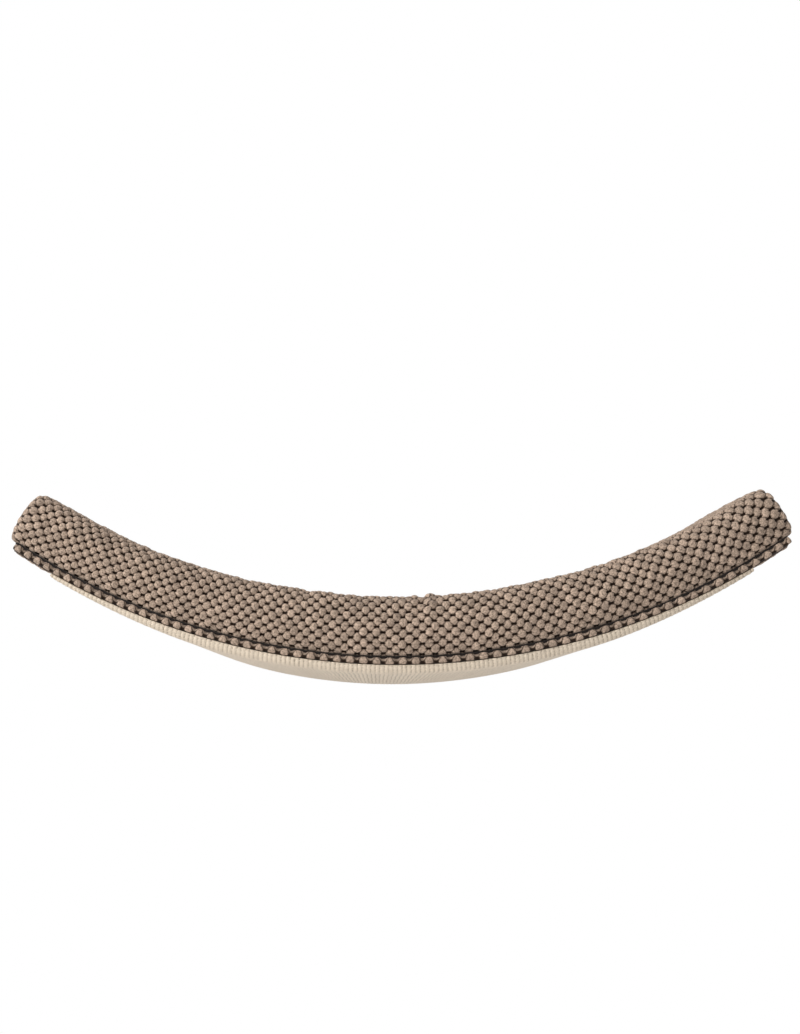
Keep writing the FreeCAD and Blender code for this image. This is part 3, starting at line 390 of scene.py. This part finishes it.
def coverGround(place, share):  # place: to 1 along the arc, to 2 round the end's edge, to 3 down the end panel
    sign, size = np.sign(place)[:, None], np.abs(place)[:, None]
    fall, turn = np.clip(size, 0, 1) ** 2, np.clip(size - 1, 0, 1) * math.pi / 2
    fan = np.clip(size - 2, 0, 1)
    middle = profile(cover["topMiddle"], cover["ground"], share)
    end = profile(cover["topEnd"], cover["ground"], share)
    cap = profile(cover["topEnd"], cover["ground"] + cover["endRound"], share)
    parts = zip(middle[:2], end[:2], cap[:2])
    depth, height = [m + (e - m) * fall + (c - e) * (1 - np.cos(turn)) for m, e, c in parts]
    depth = depth + (cover["fanWidth"] * cover["half"] * (2 * share - 1) - depth) * fan
    height = height * (1 - fan)
    risen = endSwell(height)
    swell = (cover["endLow"] + (1 - cover["endLow"]) * risen) * np.sin(turn)
    puff = cover["endPuff"] / arc["measure"] * np.sin(math.pi * fan)
    main = np.clip(size, 0, 1) * arc["seamEnd"]
    angle = sign * (main + swell * (arc["capEnd"] - arc["seamEnd"] + puff))
    points = bent(angle, arc["seam"] - height, cover["middle"] + depth)
    along = sign * (main * arc["measure"] + turn / (math.pi / 2) * cover["endRun"])
    across = share * (middle[2] + (end[2] - middle[2]) * fall)
    onEnd = size > 2
    along, across = np.where(onEnd, depth, along), np.where(onEnd, height + cover["endWalk"] * risen, across)
    edge = np.abs(turn - math.pi / 2) * cover["endRound"] + fan * cover["fanEdge"]
    return points, along, across, edge


def coverPlaces(step):  # rows at even steps along the arc, round the edge and down the end panel
    main = np.linspace(0, 1, round(arc["seamEnd"] * arc["measure"] / step) + 1)
    edge = 1 + np.linspace(0, 1, max(round(cover["edgeRows"] / step), 2) + 1)[1:]
    fall = np.linspace(1, 0, 400)
    reach = (1 - cover["endLow"]) * (arc["capEnd"] - arc["seamEnd"]) * arc["seam"]
    outward = reach * endSwell(fall * cover["topEnd"])
    walked = walkedAlong(np.column_stack([fall * cover["topEnd"], outward]))
    panel = 2 + np.interp(np.linspace(0, walked[-1], round(walked[-1] / step) + 1)[1:], walked, 1 - fall)
    half = np.concatenate([main, edge, panel])
    return np.concatenate([-half[:0:-1], half])


def cubic(spots, count):  # weights that read a coarse row of values at any spot, by cubic curves
    base = np.clip(np.floor(spots).astype(int), 0, count - 2)
    part = spots - base
    square, cube = part ** 2, part ** 3
    weights = [2 * square - cube - part, 3 * cube - 5 * square + 2, 4 * square - 3 * cube + part, cube - square]
    table = np.zeros((len(spots), count))
    for number, weight in enumerate(weights):
        np.add.at(table, (np.arange(len(spots)), np.clip(base - 1 + number, 0, count - 1)), weight / 2)
    return table


def blownUp(points):  # cloth sewn fast at its seams, held softly by the filling, a little larger than its frame
    rows, cols = points.shape[:2]
    piece = makePiece("cover_trial", points, gridFaces(rows, cols))
    index = np.arange(rows * cols).reshape(rows, cols)
    sewn = np.concatenate([index[0], index[-1], index[:, 0], index[:, -1]])
    group = piece.vertex_groups.new(name="seam")
    group.add(index.ravel().tolist(), 0.3, "REPLACE")
    group.add(np.unique(sewn).tolist(), 1.0, "REPLACE")
    cloth = piece.modifiers.new("cloth", "CLOTH")
    settings = cloth.settings
    settings.quality, settings.mass = 6, 0.3
    settings.tension_stiffness = settings.compression_stiffness = 18
    settings.shear_stiffness, settings.bending_stiffness = 8, 1.2
    settings.use_pressure, settings.uniform_pressure_force = True, 0.5
    settings.vertex_group_mass, settings.shrink_min = "seam", -0.018
    settings.effector_weights.gravity = 0
    cloth.collision_settings.use_collision = False
    cloth.point_cache.frame_start, cloth.point_cache.frame_end = 1, cover["simFrames"]
    for step in range(1, cover["simFrames"] + 1):
        scene.frame_set(step)
    mesh = piece.evaluated_get(bpy.context.evaluated_depsgraph_get()).to_mesh()
    moved = np.empty(rows * cols * 3, dtype=np.float32)
    mesh.vertices.foreach_get("co", moved)
    bpy.data.objects.remove(piece)
    scene.frame_set(1)
    return moved.reshape(rows, cols, 3) - points


def coverMove(place, share):  # how the simulated cloth moves each point, capped in and out
    coarse, coarseShare = coverPlaces(cover["simStep"]), np.linspace(0, 1, cover["simColumns"])
    ground = coverGround(coarse, coarseShare)[0]
    move = blownUp(ground)
    normal = gridNormals(ground)
    outward = (move * normal).sum(-1)
    print("cloth moved out by mm", round(float(outward.max()) / mm, 1), round(float(outward.min()) / mm, 1))
    outward = np.clip(outward, -cover["simCap"], cover["simCap"]) * cover["simShare"]
    down = cubic(np.interp(place, coarse, np.arange(len(coarse))), len(coarse))
    over = cubic(np.interp(share, coarseShare, np.arange(len(coarseShare))), len(coarseShare))
    return np.einsum("ia,jb,abk->ijk", down, over, outward[..., None] * normal, optimize=True)


creases = [
    {"along": 23 * mm, "width": 5 * mm, "deep": 1.7 * mm, "ridge": 2.6 * mm,
     "low": 48 * mm, "high": 120 * mm, "lean": 0.06},
    {"along": -111 * mm, "width": 9 * mm, "deep": 1.0 * mm, "ridge": 0.8 * mm,
     "low": 50 * mm, "high": 105 * mm, "lean": -0.2},
]
creaseFade = {"below": 15 * mm, "above": 10 * mm, "top": 20 * mm, "ridgeAt": 1.9}


def sunkCloth(along, across, length):  # slow lumps, and creases that are each a dip beside a ridge
    (broadAlong, fineAlong), (broadAcross, fineAcross) = cover["lumpAlong"], cover["lumpAcross"]
    lumps = np.sin(along / broadAlong + 1.3) * np.sin(across / broadAcross)
    lumps = lumps + 0.6 * np.sin(along / fineAlong - across / fineAcross)
    sunk = lumps * cover["lump"] * ease(0, cover["lumpFade"], np.minimum(across, length - across))
    for crease in creases:
        low, high = crease["low"], crease["high"]
        off = (along - crease["along"] - crease["lean"] * (across - low)) / crease["width"]
        starts = ease(low - creaseFade["below"], low + creaseFade["above"], across)
        stops = ease(high + creaseFade["top"], high, across)
        ridge = crease["ridge"] * np.exp(-(off - creaseFade["ridgeAt"]) ** 2)
        sunk = sunk + starts * stops * (crease["deep"] * np.exp(-off ** 2) - ridge)
    return sunk


def makeCover():  # bobbled cloth, lower along its seam and the ends' edges, and the fibre under it
    place = coverPlaces(cover["step"])
    length = profile(cover["topMiddle"], cover["ground"], np.array([0.0]))[2]
    share = np.linspace(0, 1, round(length / cover["step"]) + 1)
    ground, along, across, edge = coverGround(place, share)
    ground = ground + coverMove(place, share)
    normal = gridNormals(ground)
    onEnd = np.abs(place)[:, None] > 2
    fromSeam = np.where(onEnd, across, np.minimum(share, 1 - share) * length)
    columns, rows = weave(along)
    sway = cover["sway"] * np.sin(along / cover["swayWave"])
    dome, layers = bobbles(columns, (across - cover["firstRow"] + sway) * rows)
    dome = dome * ease(*cover["seamFade"], fromSeam) * (0.35 + 0.65 * ease(0, cover["edgeFade"], edge))
    lift = dome * bobble["height"] * (0.45 + 0.55 * ease(*cover["seamRise"], fromSeam))
    clear = ease(*cover["zipClear"], fromSeam)  # flat where the zip's slider passes
    lift = lift * np.where((share < 0.5) | onEnd, 1, clear)
    points = ground + normal * (lift - sunkCloth(along, across, length))[..., None]
    # the bobble layer also sets the colour: where the domes fade towards the seam and the ends' edges the cloth
    # goes towards the dark gap colour, which is partly painted shade
    piece = makePiece("cushion_cover", points, gridFaces(*points.shape[:2]), {"bobble": dome, **layers})
    finishPiece(piece, "cushion", looks["bobble"], "cover_top")
    every = cover["fillEvery"]
    inner = (ground - normal * cover["fillDeep"])[::every, ::every]
    filling = makePiece("cushion_fibre", inner, gridFaces(*inner.shape[:2]))
    finishPiece(filling, "cushion", looks["fibre"], "fibre_wrap")
    print("cover", points.shape)


makeCover()

base = {"front": -391.6 * mm, "lip": 3.8 * mm, "back": -22.3 * mm, "under": 814.6 * mm, "top": 807.2 * mm}
base.update(roof=810.25 * mm, roomEnd=27.5 * degree, roomFront=-377 * mm, boardEnd=30.4 * degree)
base.update(end=33.85 * degree, step=1.55 * mm, height=2.6 * mm, rowAt=6.2 * mm, wide=1.22)
base.update(roomWall=0.2 * mm, roomWallTurn=0.02 * degree, backOut=0.3 * mm, backIn=1 * mm)
base.update(overFade=0.25 * degree, endFade=0.2 * degree)
base.update(lipWalk=12 * mm, lipStart=(1.0 * mm, 2.6 * mm), lipStop=(11.8 * mm, 10.6 * mm))
base.update(lipFlat=(10.5 * mm, 6 * mm))  # the lip's bobbles flatten towards the board
base.update(between=0.42, gapDown=2.0 * mm, gapStart=(1 * mm, 2.5 * mm), gapStop=(7.6 * mm, 4.8 * mm))


def baseSection():  # depths and radii of lip, underside, back and top, and the counts of the first two
    turn = np.linspace(0, math.pi, 13)
    rise = (base["under"] - base["top"]) / 2
    lipDepth, lipRadius = base["front"] - base["lip"] * np.sin(turn), base["top"] + rise * (1 - np.cos(turn))
    ahead = np.linspace(base["front"], base["roomFront"] - base["roomWall"], 11)[1:]
    count = round((base["back"] - base["roomFront"]) / base["step"])
    behind = np.linspace(base["roomFront"] + base["roomWall"], base["back"], count)
    flat = np.full(len(ahead) + len(behind), base["under"])
    backDepth = np.full(4, base["back"] + base["backOut"])
    backRadius = np.linspace(base["under"] - base["backIn"], base["top"] + base["backIn"], 4)
    topDepth = np.linspace(base["back"], base["front"], 6)[:-1]
    depth = np.concatenate([lipDepth, ahead, behind, backDepth, topDepth])
    radius = np.concatenate([lipRadius, flat, backRadius, np.full(len(topDepth), base["top"])])
    return depth, radius, len(turn), len(flat)


def makeBase():  # a slab with a soft lip in front; its middle is hollowed over the brackets and pads
    depth, radius, lipCount, flatCount = baseSection()
    main = np.linspace(-1, 1, 2 * round(base["end"] * arc["measure"] / base["step"]) + 1) * base["end"]
    wall = base["roomEnd"] + np.array([-1, 1]) * base["roomWallTurn"]
    angle = np.sort(np.concatenate([main, wall, -wall]))[:, None]
    fromMiddle = np.abs(angle)
    hollow = (depth > base["roomFront"]) & (depth <= base["back"]) & (radius > base["roof"])
    ground = bent(angle, np.where(hollow & (fromMiddle < base["roomEnd"]), base["roof"], radius), depth)
    walked = walkedAlong(np.column_stack([depth, radius]))
    columns = weave(angle * arc["measure"])[0] + 0 * walked
    dome, layers = bobbles(columns, walked - base["rowAt"] + 0 * angle, base["wide"])
    otherRow = np.rint(layers["right"]) != np.rint(layers["left"])
    dome = np.where(otherRow & (walked < base["lipWalk"]), 0, dome)  # one row alone shows on the lip
    down = np.where(walked < base["lipWalk"], base["gapDown"] / bobble["pitch"], 0)
    layers["right"], layers["left"] = layers["right"] - down, layers["left"] + down  # the lip's painted gap shadows sit low
    onLip = ease(*base["lipStart"], walked) * ease(*base["lipStop"], walked)
    spot = np.arange(len(depth))
    under = (spot >= lipCount) & (spot < lipCount + flatCount)
    past = ease(base["boardEnd"], base["boardEnd"] + base["overFade"], fromMiddle)
    overhang = past * ease(base["end"], base["end"] - base["endFade"], fromMiddle)
    free = np.maximum(onLip, under * overhang)
    lift = dome * np.maximum(onLip * ease(*base["lipFlat"], walked), under * overhang)
    normal = -gridNormals(ground, wrap=True)
    points = cappedRun(ground + normal * (lift * base["height"])[..., None])
    flattened = (spot >= lipCount) & (free < 0.5)
    between = base["between"] * ease(*base["gapStart"], walked) * ease(*base["gapStop"], walked)
    shown = np.maximum(dome * free * 0.8, between)  # some pale cloth shows between the lip's bobbles in place of the dark gap colour and its painted shade
    layers["bobble"] = np.where(flattened, 0.42 + 0.35 * dome, shown)
    layers = {key: np.pad(data, ((1, 1), (0, 0)), "edge") for key, data in layers.items()}
    piece = makePiece("cushion_base", points, gridFaces(*points.shape[:2], wrap=True)[:, ::-1], layers)
    finishPiece(piece, "cushion", looks["bobble"], "cover_base")
    print("base", points.shape)


makeBase()


def tube(name, path, radius, sides, twist, ridge):  # a round section along a path; three ridges wind round it
    along = np.gradient(path, axis=0)
    along /= np.linalg.norm(along, axis=1, keepdims=True)
    walked = walkedAlong(path)
    up = np.stack([-path[:, 0], 0 * walked, arc["axisZ"] - path[:, 2]], axis=1)
    up -= along * (up * along).sum(1, keepdims=True)
    up /= np.linalg.norm(up, axis=1, keepdims=True)
    side = np.cross(along, up)
    turn = np.linspace(0, 2 * math.pi, sides, endpoint=False)
    size = radius * (1 + ridge * np.cos(3 * turn[None] - twist * walked[:, None]))
    outward = up[:, None] * np.cos(turn)[None, :, None] + side[:, None] * np.sin(turn)[None, :, None]
    points = cappedRun(path[:, None] + outward * size[..., None])
    return makePiece(name, points, gridFaces(*points.shape[:2], wrap=True)[:, ::-1])


cord = {"front": -394.0 * mm, "back": -26 * mm, "radius": 806.2 * mm, "endRadius": 806.8 * mm}
cord.update(endTurn=33.9 * degree, thick=1.3 * mm, sides=10, twist=1.6 / mm, ridge=0.10, soften=7)


def makeCord():  # along one end, the front and the other end, with its two corners rounded by averaging neighbours
    run = np.linspace(cord["back"], cord["front"], 370)
    turn = np.linspace(-cord["endTurn"], cord["endTurn"], 950)
    left = bent(-cord["endTurn"], cord["endRadius"], run)
    front = bent(turn, cord["radius"], cord["front"])
    right = bent(cord["endTurn"], cord["endRadius"], run[::-1])
    path = np.concatenate([left, front[1:-1], right])
    window = np.ones(cord["soften"]) / cord["soften"]
    padded = np.pad(path, ((cord["soften"] // 2,) * 2, (0, 0)), "edge")
    smooth = np.stack([np.convolve(line, window, "valid") for line in padded.T], axis=1)
    piece = tube("seam_cord", smooth, cord["thick"], cord["sides"], cord["twist"], cord["ridge"])
    finishPiece(piece, "cushion", looks["cord"], "seam_welt")
    print("cord", smooth.shape)


makeCord()

mat = {"pitch": 5.3 * mm, "rib": 0.8 * mm, "weave": 3.3 * mm, "weft": 0.36 * mm, "groove": 0.8, "stitch": 0.55}
mat.update(front=-394.3 * mm, back=-2.2 * mm, top=815.3 * mm, end=30.08 * degree)
mat.update(round=6.5 * mm, endRound=2.5 * mm, off=1.0 * mm, offFall=(15 * degree, 29 * degree))
mat.update(bulge=2.2 * mm, bulgeTurn=16 * degree, bulgeWide=7 * degree)  # looser cloth on both sides of the middle
mat.update(stepAlong=0.9 * mm, near=42 * mm, nearColumns=34, farColumns=44)
mat.update(wander=0.5 * mm, waves=(19 * mm, 31 * mm), softWalk=(4 * mm, 13 * mm), weftWalk=(60 * mm, 40 * mm))
mat.update(lining=0.1 * mm, liningTurn=0.05 * degree, inset=3.2 * mm)


def makeMat():  # a tray of ribbed cloth; ribs run from front to back and up its edges, a weft crosses them
    part = np.linspace(1, 0, 9)
    corner = np.linspace(0, math.pi / 2, 9)[1:-1]
    near = np.linspace(mat["front"] + mat["round"], mat["front"] + mat["near"], mat["nearColumns"])
    far = np.linspace(mat["front"] + mat["near"], mat["back"], mat["farColumns"])[1:]
    flat = np.zeros(len(near) + len(far))
    colFlat = np.concatenate([0 * part + mat["front"], 0 * corner + mat["front"], near, far])
    colPart = np.concatenate([part, 0 * corner, flat])  # share of the upright part of the edge
    colUp = np.concatenate([0 * part + 1, 1 - np.sin(corner), flat])  # share of its rounding, upwards
    colIn = np.concatenate([0 * part, 1 - np.cos(corner), flat])  # share of its rounding, inwards
    endTurn = mat["endRound"] / arc["under"]
    run = mat["end"] - endTurn
    turns = np.linspace(-run, run, round(2 * run * arc["under"] / mat["stepAlong"]))
    edgeTurn = np.concatenate([run + endTurn * np.sin(corner), 0 * part + mat["end"]])
    edgePart = np.concatenate([0 * corner, part[::-1]])
    edgeUp = np.concatenate([1 - np.cos(corner), 0 * part + 1])
    rowTurn = np.concatenate([-edgeTurn[::-1], turns, edgeTurn])[:, None]
    rowPart = np.concatenate([edgePart[::-1], 0 * turns, edgePart])[:, None]
    rowUp = np.concatenate([edgeUp[::-1], 0 * turns, edgeUp])[:, None]
    fuller = mat["bulge"] * np.exp(-((np.abs(rowTurn) - mat["bulgeTurn"]) / mat["bulgeWide"]) ** 2)
    low = boardUnder(rowTurn) + mat["off"] * (1 - 0.5 * ease(*mat["offFall"], np.abs(rowTurn))) + fuller
    rounding = np.minimum(mat["round"], 0.8 * (low - mat["top"]))  # less where the board is thin
    colDepth = colFlat + colIn * rounding
    frontLift = colPart * (low - mat["top"] - rounding) + colUp * rounding
    endLift = rowPart * (low - mat["top"] - mat["endRound"]) + rowUp * mat["endRound"]
    outer = bent(rowTurn, low - np.maximum(frontLift, endLift), colDepth)
    rowWalk, colWalk = walkedAlong(outer[:, -1])[:, None], walkedAlong(outer[len(rowTurn) // 2])
    wander = mat["wander"] * np.sin(colWalk / mat["waves"][0] + rowWalk / mat["waves"][1])
    place = (rowWalk + wander) / mat["pitch"]
    number = np.floor(place)
    soft = 0.85 + 0.15 * ease(*mat["softWalk"], colWalk)
    rib = np.abs(np.sin(math.pi * place)) ** 0.75  # round ribs with narrow grooves
    weft = np.sin(2 * math.pi * colWalk / mat["weave"] + math.pi * number) * ease(*mat["weftWalk"], colWalk)
    normal = -gridNormals(outer)
    lifted = outer + normal * ((rib * mat["rib"] + weft * mat["weft"]) * soft)[..., None]
    inside = np.array([len(colFlat) - 1, len(colFlat) // 2, len(part) + len(corner), 0])
    innerLow = boardUnder(rowTurn) + mat["lining"]
    innerLift = np.maximum(rowPart, colPart[inside]) * (innerLow - mat["top"])
    innerEnd = mat["end"] - mat["liningTurn"]
    innerDepth = np.maximum(colDepth[:, inside], mat["front"] + mat["inset"])
    inner = bent(np.clip(rowTurn, -innerEnd, innerEnd), innerLow - innerLift, innerDepth)
    points = cappedRun(np.concatenate([lifted, inner], axis=1))
    # painted shade: the grooves between the ribs darken, less where the weft rides high
    shown = np.clip(1 - soft * (1 - rib) * (mat["groove"] - mat["stitch"] * weft), 0, 1)
    layers = {"rib": shown, "tint": np.sin(number * 12.9898) * 43.7 % 1}  # each rib has its own tint
    layers = {key: np.pad(data, ((1, 1), (0, len(inside))), "edge") for key, data in layers.items()}
    piece = makePiece("ribbed_mat", points, gridFaces(*points.shape[:2], wrap=True)[:, ::-1], layers)
    finishPiece(piece, "shelf", looks["mat"], "underside_mat")
    print("mat", points.shape)


makeMat()


def arcStrip(name, angles, depthLow, depthHigh, radiusLow, radiusHigh, edge):  # a bent bar with rounded long edges
    turn = np.linspace(0, 2 * math.pi, 24, endpoint=False)
    sideways, upright = [np.sign(wave) * np.abs(wave) ** edge for wave in (np.cos(turn), np.sin(turn))]
    depth = (depthLow + depthHigh) / 2 + (depthHigh - depthLow) / 2 * sideways
    radius = (radiusLow + radiusHigh) / 2 - (radiusHigh - radiusLow) / 2 * upright
    points = cappedRun(bent(angles[:, None], radius, depth))
    return makePiece(name, points, gridFaces(*points.shape[:2], wrap=True)[:, ::-1])


pads = {"place": 21.5 * degree, "half": 2.8 * degree, "depth": 50 * mm, "front": -300 * mm, "rear": -120 * mm}
pads.update(hook=(813.05 * mm, 814.98 * mm), loop=(810.3 * mm, 812.65 * mm), hookEdge=0.25, loopEdge=0.3)


def makePads():  # hook tape on the board, loop tape on the cushion's base
    for rowName in ("front", "rear"):
        for sideName, sign in (("left", -1), ("right", 1)):
            name = rowName + "_" + sideName
            angles = sign * pads["place"] + np.linspace(-1, 1, 60) * pads["half"]
            low, high = pads[rowName] - pads["depth"] / 2, pads[rowName] + pads["depth"] / 2
            hook = arcStrip("hook_tape_" + name, angles, low, high, *pads["hook"], pads["hookEdge"])
            finishPiece(hook, "shelf", looks["hook"], "hook_pad_" + name)
            loop = arcStrip("loop_tape_" + name, angles, low, high, *pads["loop"], pads["loopEdge"])
            finishPiece(loop, "cushion", looks["loop"], "loop_pad_" + name)
    print("pads in four places")


makePads()

zipper = {"half": 26 * degree, "coilHalf": 25.74 * degree, "pitch": 1.35 * mm}
zipper.update(face=-21 * mm, back=-21.8 * mm, reach=3.4 * mm, width=2.9 * mm, tapeEdge=0.5)
zipper.update(tooth=(0.52 * mm, 0.75 * mm, 1.62 * mm), stagger=0.12 * mm, clear=0.02 * mm)


def makeZip():  # two tapes, and a coil of flattened beads that lean to one side and the other by turns
    angles = np.linspace(-zipper["half"], zipper["half"], 420)
    lows = {"upper": arc["seam"] - zipper["reach"], "lower": arc["seam"] + zipper["reach"] - zipper["width"]}
    for name, low in lows.items():
        high = low + zipper["width"]
        tape = arcStrip("zip_band_" + name, angles, zipper["back"], zipper["face"], low, high, zipper["tapeEdge"])
        finishPiece(tape, "cushion", looks["tape"], "zip_tape_" + name)
    count = round(2 * zipper["coilHalf"] * arc["seam"] / zipper["pitch"])
    centres = np.linspace(-zipper["coilHalf"], zipper["coilHalf"], count)[:, None, None]
    ring, band = np.linspace(0, 2 * math.pi, 6, endpoint=False), np.linspace(-math.pi / 2, math.pi / 2, 5)
    wide, tall, long = zipper["tooth"]
    waist = np.cos(band)[:, None] ** 0.5
    alongTooth, depthTooth = wide * waist * np.cos(ring), tall * waist * np.sin(ring)
    radialTooth = long * np.sin(band)[:, None] + 0 * ring
    stagger = np.where(np.arange(count) % 2, zipper["stagger"], -zipper["stagger"])[:, None, None]
    radius = arc["seam"] + radialTooth + stagger
    depth = zipper["face"] + tall + zipper["clear"] + depthTooth
    points = bent(centres + alongTooth / arc["seam"], radius, depth)
    one = gridFaces(len(band), len(ring), wrap=True)
    faces = (one[None] + (np.arange(count) * len(band) * len(ring))[:, None, None]).reshape(-1, 4)
    coil = makePiece("zip_teeth", points, faces)
    finishPiece(coil, "cushion", looks["coil"], "zip_coil")
    print("zip teeth", count)


makeZip()

kept = {"plywood_board": "ply", "bracket_left": "coat", "bracket_right": "coat", "foam_core": "foam"}
kept.update({name + side: "zinc" for name in ("bracket_screws_", "tee_nuts_") for side in ("left", "right")})
kept.update({name: "gun" for name in ("zip_slider", "zip_pull", "zip_stops")})
for node, look in kept.items():  # these show the CAD's own solids
    for place in bpy.data.objects[node].material_slots:
        place.material = looks[look]
print("kept nodes", len(kept))

studio = {"eye": (-30 * mm, -1452 * mm, -115.6 * mm), "lens": 31.6, "sensor": 36, "roll": 0.44 * degree}
studio.update(shift=(0.0218, 0.1909), sky=0.36, floor=-1.2, floorHalf=6.0, aim=(0, -0.2, 0.03))
lamps = [("key", (-1.9, -1.3, 1.7), 1.5, 66), ("fill", (1.8, -1.9, 0.8), 1.8, 3)]  # name, place, size and watts
lamps += [("low", (-0.5, -1.4, -1.0), 1.8, 17), ("back", (0.5, 2.2, 0.7), 1.8, 16)]


def seen(tree):  # 1 for what the camera sees, directly, mirrored or through something clear
    path = tree.nodes.new("ShaderNodeLightPath")
    rays = [Wire(tree, path.outputs["Is %s Ray" % kind]) for kind in ("Camera", "Glossy", "Transmission")]
    return rays[0].maths("MAXIMUM", rays[1]).maths("MAXIMUM", rays[2])


def makeFloor():  # a pale floor well under the shelf, plain white where the camera sees it
    corners = np.array([[-1, -1], [1, -1], [1, 1], [-1, 1]]) * studio["floorHalf"]
    floor = makePiece("floor", np.column_stack([corners, np.full(4, studio["floor"])]), np.array([[0, 1, 2, 3]]))
    look = Look("pale_floor", **{"Base Color": (0.8, 0.8, 0.8, 1), "Roughness": 0.9})
    shaded, shine = Wire(look.tree, look.surface.outputs[0]), look.node("ShaderNodeEmission")
    blend = look.node("ShaderNodeMixShader", inputs={0: seen(look.tree), 1: shaded, 2: shine})
    plug(look.tree, blend, look.tree.nodes["Material Output"].inputs["Surface"])
    floor.data.materials.append(look.material)


def makeStudio():
    camera = bpy.data.objects.new("camera", bpy.data.cameras.new("camera"))
    camera.data.lens, camera.data.sensor_width = studio["lens"], studio["sensor"]
    camera.data.shift_x, camera.data.shift_y = studio["shift"]
    camera.location, camera.rotation_euler = studio["eye"], (math.pi / 2, studio["roll"], 0)
    scene.collection.objects.link(camera)
    scene.camera = camera
    for name, spot, size, power in lamps:
        lamp = bpy.data.lights.new(name, "AREA")
        lamp.size, lamp.energy = size, power
        holder = bpy.data.objects.new(name, lamp)
        holder.location = spot
        x, y, z = np.array(studio["aim"]) - np.array(spot)
        pan, tilt = math.atan2(-x, y), math.atan2(z, math.hypot(x, y))
        holder.rotation_euler = (math.pi / 2 + tilt, 0, pan)
        scene.collection.objects.link(holder)
    world = bpy.data.worlds.new("studio")
    scene.world = world
    world.use_nodes = True
    tree = world.node_tree
    plug(tree, seen(tree) * (1 - studio["sky"]) + studio["sky"], tree.nodes["Background"].inputs["Strength"])
    tree.nodes["Background"].inputs["Color"].default_value = (1, 1, 1, 1)
    scene.view_settings.view_transform = "Standard"


makeFloor()
makeStudio()
